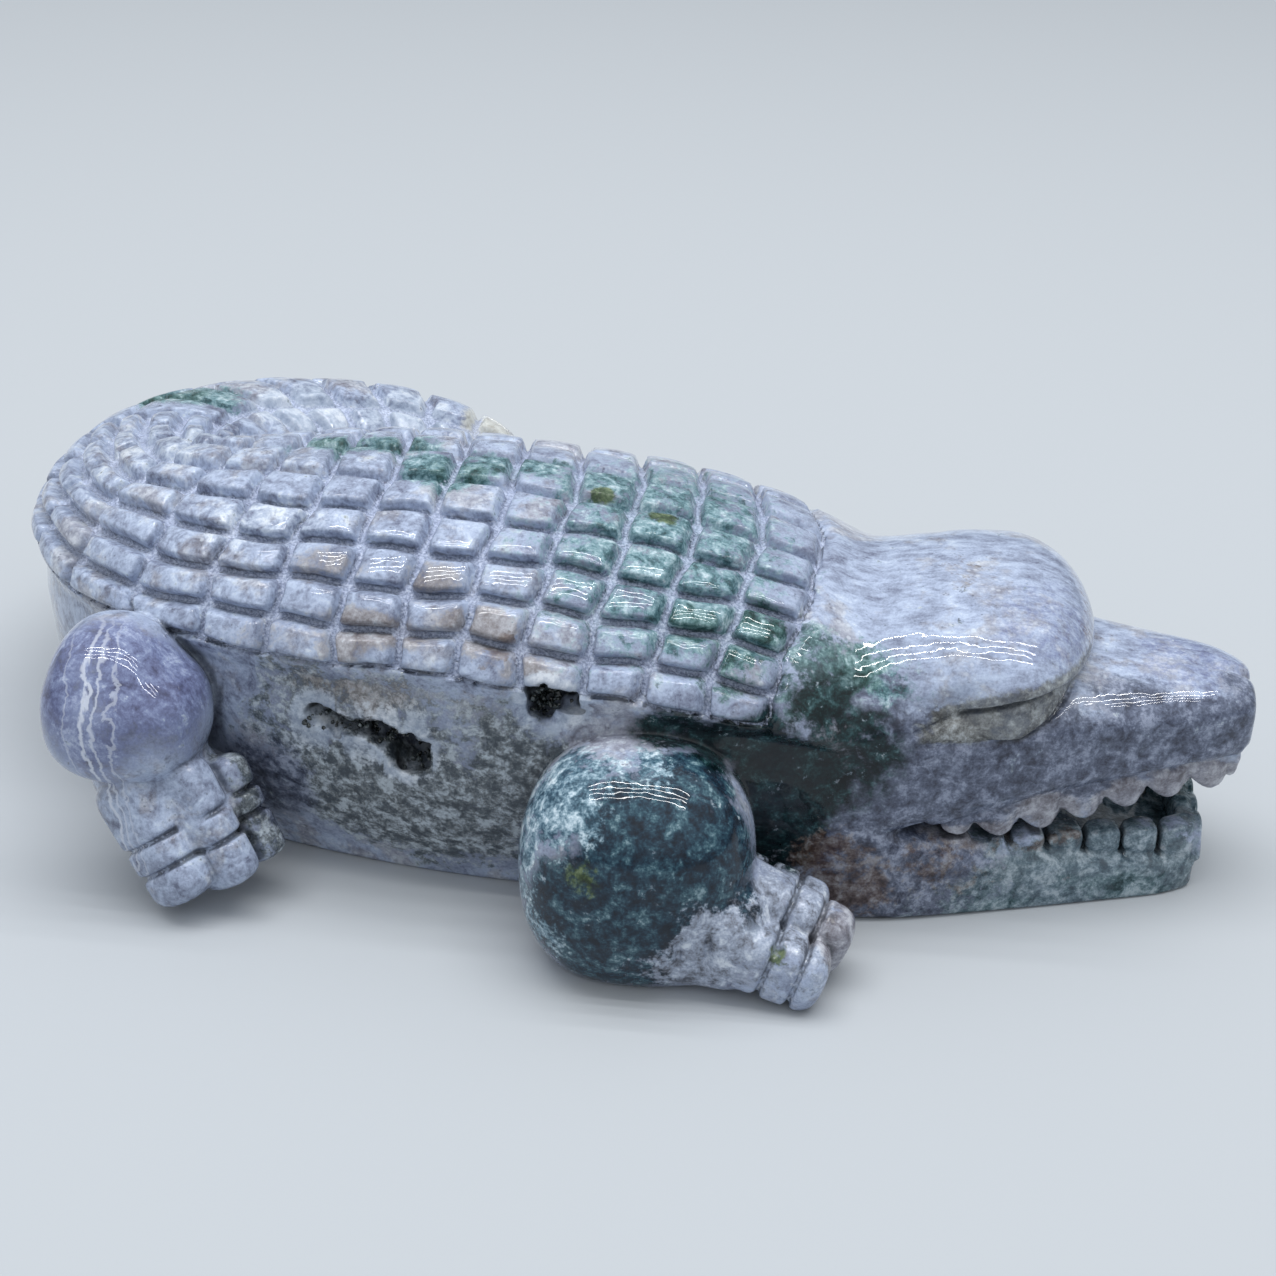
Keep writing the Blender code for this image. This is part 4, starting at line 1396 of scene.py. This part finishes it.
# How the regions lie over each other, from the lowest:
# (attribute, ramp, strength, raggedness of the edge, is the mottle coarse and sharp).
LAYERS = (
    ("salt", SALT, 0.92, 2.6, True),
    ("tan", TAN, 0.8, 2.2, False),
    ("violet", VIOLET, 0.95, 1.5, False),
    # Painted shade on the sides facing away from the light.
    ("side_shade", SIDE_SHADE, 0.92, 1.7, True),
    ("pale", PALE, 0.9, 2.0, False),
    ("moss", MOSS, 0.95, 2.6, True),
    ("fern", FERN, 0.9, 2.4, True),
    ("deep", DEEP, 0.97, 1.6, True),
    ("night", NIGHT, 0.97, 1.4, True),
    ("frost", FROST, 0.95, 3.4, True),
    ("jaw", JAW, 0.85, 2.2, True),
    ("rim", SAND, 0.74, 1.9, True),
    ("hand", HAND, 0.95, 3.2, True),
    ("beige", TAUPE, 0.85, 1.4, True),
    ("rust", RUST, 0.75, 3.0, True),
    # Painted shade between the jaws, in the night stone's colours.
    ("mouth_shade", NIGHT, 0.9, 0.8, False),
    ("cream", CREAM, 0.95, 1.5, False),
    ("olive", OLIVE, 0.9, 2.4, True),
)


# Roughness where polished, from and to, and where dull; index of refraction; depth of the relief in mm.
POLISHED = (0.012, 0.04)
DULL = 0.55
STONE_IOR = 1.4
QUARTZ_ROUGHNESS = 0.07
QUARTZ_IOR = 1.54
RELIEF = 0.14

# How much the contrast of the noise is raised.
MOTTLE_CONTRAST = 1.5
HEAD_CONTRAST = 1.35
SHARP_CONTRAST = 1.5

# Veins in the hind leg: (place across them in millimetres, half width, strength).
VEIN_LEAN = 0.1
VEINS = ((-60.6, 0.5, 0.8), (-59.0, 0.35, 0.6), (-57.2, 0.28, 0.45), (-63.6, 0.25, 0.4))


def with_veins(graph, colour, cloud, patch):
    """A few thin white veins down the hind leg."""
    sway = graph.add_up((cloud, 9.0), (patch, 3.0))
    run = graph.math("ADD", graph.along((1.0, 0.0, VEIN_LEAN)), sway)
    for offset, width, strength in VEINS:
        away = graph.math("ABSOLUTE", graph.math("SUBTRACT", run, offset))
        line = graph.span(away, 0.3 * width, width, strength, 0.0)
        line = graph.math("MULTIPLY", line, graph.attribute("veined"))
        colour = graph.mix(line, colour, linear(VEIN))
    return colour


def polish_and_relief(graph, powder, shaded_pocket, broken, grain, fine):
    """Glassy where the stone is polished, dull and uneven where it is rough or powdered."""
    polish = graph.span(grain, 0.4, 0.65, *POLISHED)
    rough = graph.math("MULTIPLY", graph.attribute("rough"), graph.span(broken, 0.42, 0.56))
    dull = graph.math("MAXIMUM", graph.math("MAXIMUM", powder, rough), shaded_pocket)
    graph.feed(graph.shader.inputs["Roughness"], graph.blend_number(dull, polish, DULL))
    graph.shader.inputs["IOR"].default_value = STONE_IOR
    wave = graph.noise(3.6, 1.5, 0.45)
    pitted, dusty = graph.math("MULTIPLY", dull, broken), graph.math("MULTIPLY", powder, fine)
    bump = graph.node("ShaderNodeBump")
    graph.feed(bump.inputs["Height"], graph.add_up((wave, 0.8), (pitted, 1.3), (dusty, 0.8)))
    bump.inputs["Distance"].default_value = RELIEF * MM
    bump.inputs["Strength"].default_value = 1.0
    graph.feed(graph.shader.inputs["Normal"], bump.outputs["Normal"])


def ocean_jasper():
    graph = Graph("ocean_jasper")
    cloud = graph.noise(11.0, 3.0, 0.5, 0.4)
    patch = graph.noise(3.4, 5.0, 0.62, 0.7)
    grain = graph.noise(1.0, 5.0, 0.7)
    fine = graph.noise(0.4, 3.0, 0.6)
    along = graph.noise(1.7, 5.0, 0.66, 0.5, graph.stretched(0.42, 1.0, 0.9))
    other = graph.noise(2.6, 6.0, 0.64, 0.35, graph.stretched(1.0, 1.0, 1.15))
    broken = graph.add_up((patch, 0.55), (grain, 0.45))
    rounded = graph.add_up((cloud, 0.2), (patch, 0.45), (grain, 0.25), (fine, 0.1))
    streaked = graph.add_up((cloud, 0.25), (patch, 0.25), (along, 0.35), (fine, 0.15))
    sharp = graph.add_up((other, 0.6), (grain, 0.25), (fine, 0.15))

    # More contrast than noise has on its own, and less of it on the head.
    on_head = graph.attribute("streak")
    contrast = graph.blend_number(on_head, MOTTLE_CONTRAST, HEAD_CONTRAST)
    mottle = graph.stronger(graph.blend_number(on_head, rounded, streaked), contrast)
    sharp = graph.stronger(sharp, SHARP_CONTRAST)
    colour = graph.colours(mottle, LAVENDER)
    taupe_share = graph.span(graph.add_up((cloud, 0.6), (other, 0.4)), 0.49, 0.6, 0.0, 0.7)
    colour = graph.mix(taupe_share, colour, graph.colours(mottle, TAUPE))
    # Small pale eyes and dark grains.
    eyes = graph.span(graph.cells(1.6), 0.14, 0.3, 0.4, 0.0)
    eyes = graph.math("MULTIPLY", eyes, graph.span(cloud, 0.45, 0.6))
    colour = graph.mix(eyes, colour, linear(PALE_EYE))
    grains = graph.span(graph.cells(0.9), 0.12, 0.25, 0.45, 0.0)
    grains = graph.math("MULTIPLY", grains, graph.span(other, 0.5, 0.6))
    colour = graph.mix(grains, colour, linear(DARK_GRAIN))
    for name, stops, strength, raggedness, is_sharp in LAYERS:
        share = graph.math("MULTIPLY", graph.region(name, broken, raggedness), strength)
        colour = graph.mix(share, colour, graph.colours(sharp if is_sharp else mottle, stops))

    colour = with_veins(graph, colour, cloud, patch)
    lining = graph.math("MULTIPLY", graph.region("lining", broken, 2.0), 0.75)
    colour = graph.mix(lining, colour, graph.colours(mottle, PALE))
    # Painted shade in the creases, pale powder at the bottom of the grooves, and painted shade in the
    # pockets, lighter on their upward walls.
    crease_shade = graph.span(graph.attribute("crease_shade"), 0.3, 0.85, 0.0, 0.6)
    colour = graph.mix(crease_shade, colour, linear(CREASE_SHADE_COLOUR))
    powder = graph.span(graph.add_up((graph.attribute("powder"), 1.0), (fine, 0.4)), 0.85, 1.2)
    colour = graph.mix(graph.math("MULTIPLY", powder, 0.75), colour, graph.colours(fine, DUST))
    shaded_pocket = graph.attribute("shaded_pocket")
    colour = graph.mix(shaded_pocket, colour, graph.colours(grain, HOLLOW_SHADE))
    graph.feed(graph.shader.inputs["Base Color"], colour)
    polish_and_relief(graph, powder, shaded_pocket, broken, grain, fine)
    return graph.material


def quartz_druse():
    graph = Graph("quartz_druse")
    grain = graph.noise(1.4, 4.0, 0.6)
    graph.feed(graph.shader.inputs["Base Color"], graph.colours(grain, QUARTZ))
    graph.shader.inputs["Roughness"].default_value = QUARTZ_ROUGHNESS
    graph.shader.inputs["IOR"].default_value = QUARTZ_IOR
    return graph.material


CRYSTAL_SIDES = 6
# Where a crystal's prism ends and its point starts: the shares of its height and of its radius.
CRYSTAL_SHOULDER = (0.55, 0.92)
CRYSTAL_RADIUS = (0.18, 0.42)
CRYSTAL_SLENDERNESS = (1.6, 2.6)
CRYSTAL_LEAN = 0.45
# Directions from a hollow's middle that point this much out of its mouth get no crystal.
MOUTH_SHARE = -0.35
# For each pocket, how many directions are tried in each hollow, and the outermost y of a crystal's foot.
FLANK_CRYSTALS = (260, -31.2)
SHOULDER_CRYSTALS = (240, -33.6)


def crystal(points, faces, foot, axis, radius, height, rng):
    """Adds a six-sided prism with a pointed top, standing on foot along axis."""
    start = len(points)
    turn = axis.to_track_quat("Z", "Y").to_matrix()
    spin = rng.uniform(0.0, math.pi)
    shoulder, narrowing = CRYSTAL_SHOULDER
    for level, size in ((0.0, radius), (height * shoulder, radius * narrowing)):
        for k in range(CRYSTAL_SIDES):
            angle = spin + 2.0 * math.pi * k / CRYSTAL_SIDES
            reach = size * (0.85 + 0.3 * ((k * 7) % 3) / 3.0)
            points.append(foot + turn @ Vector((reach * math.cos(angle), reach * math.sin(angle), level)))
    off_centre = [radius * rng.uniform(-0.2, 0.2) for _ in range(2)]
    points.append(foot + turn @ Vector((*off_centre, height)))
    tip = len(points) - 1
    for k in range(CRYSTAL_SIDES):
        after = (k + 1) % CRYSTAL_SIDES
        faces.append((start + k, start + after, start + CRYSTAL_SIDES + after, start + CRYSTAL_SIDES + k))
        faces.append((start + CRYSTAL_SIDES + k, start + CRYSTAL_SIDES + after, tip))
    faces.append(tuple(start + k for k in reversed(range(CRYSTAL_SIDES))))


def druse(name, hollows, count, outer_y, rng):
    """Crystals lining a pocket, at random places on its hollows' inner walls."""
    points, faces = [], []
    for centre, radii, tilt in hollows:
        turn = Matrix.Rotation(math.radians(-tilt), 3, "Y")
        middle = Vector(centre)
        for _ in range(count):
            direction = Vector([rng.gauss(0.0, 1.0) for _ in range(3)]).normalized()
            if direction.y < MOUTH_SHARE:
                continue
            local = Vector([d * r for d, r in zip(direction, radii)])
            wall = middle + turn @ (local * 1.02)
            if wall.y < outer_y:
                continue
            normal = (turn @ Vector([-d / r for d, r in zip(direction, radii)])).normalized()
            lean = Vector([rng.uniform(-CRYSTAL_LEAN, CRYSTAL_LEAN) for _ in range(3)])
            size = rng.uniform(*CRYSTAL_RADIUS)
            height = size * rng.uniform(*CRYSTAL_SLENDERNESS)
            crystal(points, faces, wall, (normal + lean).normalized(), size, height, rng)
    mesh = bpy.data.meshes.new(name)
    mesh.from_pydata([p * MM for p in points], [], faces)
    mesh.update()
    return placed(name, mesh)


# The camera, in millimetres and degrees.
CAMERA_AZIMUTH = 5.57
CAMERA_ELEVATION = 28.71
CAMERA_ROLL = 1.61
CAMERA_DISTANCE = 303.11
CAMERA_VIEW = 34.82
CAMERA_TARGET = (8.3, -22.05, 42.33)


def add_camera():
    data = bpy.data.cameras.new("camera")
    data.sensor_width = 36.0
    data.lens = data.sensor_width / 2 / math.tan(math.radians(CAMERA_VIEW / 2))
    data.clip_start = 0.01
    obj = placed("camera", data)
    a, e = math.radians(CAMERA_AZIMUTH), math.radians(CAMERA_ELEVATION)
    back = Vector((math.sin(a) * math.cos(e), -math.cos(a) * math.cos(e), math.sin(e)))
    place = (Vector(CAMERA_TARGET) + back * CAMERA_DISTANCE) * MM
    turn = (-back).to_track_quat("-Z", "Y").to_matrix().to_4x4()
    roll = Matrix.Rotation(math.radians(CAMERA_ROLL), 4, "Z")
    obj.matrix_world = Matrix.Translation(place) @ turn @ roll
    bpy.context.scene.camera = obj


# Strip lights, in millimetres, degrees and watts.
STRIPS = 4
STRIP_ANGLE = 80.0
STRIP_ANGLE_STEP = 7.4
STRIP_DISTANCE = 1100.0
STRIP_SIZE = (1300.0, 17.0)
STRIP_POWER = 2.75
STRIP_AIM = (0.0, 0.0, 30.0)


def strip_light(name, angle):
    """A strip along X, overhead at an angle up from the horizon on the -Y side, facing the carving."""
    data = bpy.data.lights.new(name, "AREA")
    data.shape = "RECTANGLE"
    data.size, data.size_y = (side * MM for side in STRIP_SIZE)
    data.energy = STRIP_POWER
    obj = placed(name, data)
    away = Vector((0.0, -math.cos(math.radians(angle)), math.sin(math.radians(angle))))
    place = Vector(STRIP_AIM) + away * STRIP_DISTANCE
    obj.matrix_world = Matrix.Translation(place * MM) @ away.to_track_quat("Z", "Y").to_matrix().to_4x4()


# The sky: its colour, where it is brightest, and its fade from low and high dot products to strengths.
SKY_COLOUR = (0.93, 0.965, 1.0, 1.0)
SKY_TOP = (0.0, -0.17, 0.985)
SKY_FADE = (-0.15, 0.95, 0.14, 1.02)


def add_light():
    scene = bpy.context.scene
    world = bpy.data.worlds.new("studio")
    world.use_nodes = True
    tree = world.node_tree
    background = tree.nodes["Background"]
    background.inputs["Color"].default_value = SKY_COLOUR
    # Bright overhead, fading softly towards the ground.
    direction = tree.nodes.new("ShaderNodeTexCoord").outputs["Generated"]
    toward = tree.nodes.new("ShaderNodeVectorMath")
    toward.operation = "DOT_PRODUCT"
    toward.inputs[1].default_value = SKY_TOP
    tree.links.new(direction, toward.inputs[0])
    fade = tree.nodes.new("ShaderNodeMapRange")
    fade.interpolation_type = "SMOOTHSTEP"
    for name, value in zip(RANGE_SOCKETS, SKY_FADE):
        fade.inputs[name].default_value = value
    tree.links.new(toward.outputs["Value"], fade.inputs["Value"])
    tree.links.new(fade.outputs["Result"], background.inputs["Strength"])
    scene.world = world
    scene.view_settings.view_transform = "Standard"
    for k in range(STRIPS):
        strip_light("strip_%d" % k, STRIP_ANGLE + STRIP_ANGLE_STEP * k)


FLOOR_REACH = 3.0
FLOOR_COLOUR = (176, 181, 186)
FLOOR_ROUGHNESS = 0.9


def add_floor():
    mesh = bpy.data.meshes.new("floor")
    corners = [(FLOOR_REACH * x, FLOOR_REACH * y, 0) for x, y in ((-1, -1), (1, -1), (1, 1), (-1, 1))]
    mesh.from_pydata(corners, [], [(0, 1, 2, 3)])
    obj = placed("floor", mesh)
    graph = Graph("floor")
    graph.shader.inputs["Base Color"].default_value = linear(FLOOR_COLOUR)
    graph.shader.inputs["Roughness"].default_value = FLOOR_ROUGHNESS
    mesh.materials.append(graph.material)


def finish_piece(obj, node, material):
    obj.data.materials.clear()
    obj.data.materials.append(material)
    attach(obj, "root")
    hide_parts(node)


def main():
    rng = random.Random(CRYSTAL_SEED)
    jasper, quartz = ocean_jasper(), quartz_druse()
    finish_piece(carved_crocodile(), "crocodile", jasper)
    flank = druse("flank_druse", FLANK_POCKET, *FLANK_CRYSTALS, rng)
    finish_piece(flank, "flank_crystal_crust", quartz)
    shoulder = druse("shoulder_druse", SHOULDER_POCKET, *SHOULDER_CRYSTALS, rng)
    finish_piece(shoulder, "shoulder_crystal_crust", quartz)
    add_camera()
    add_light()
    add_floor()


main()
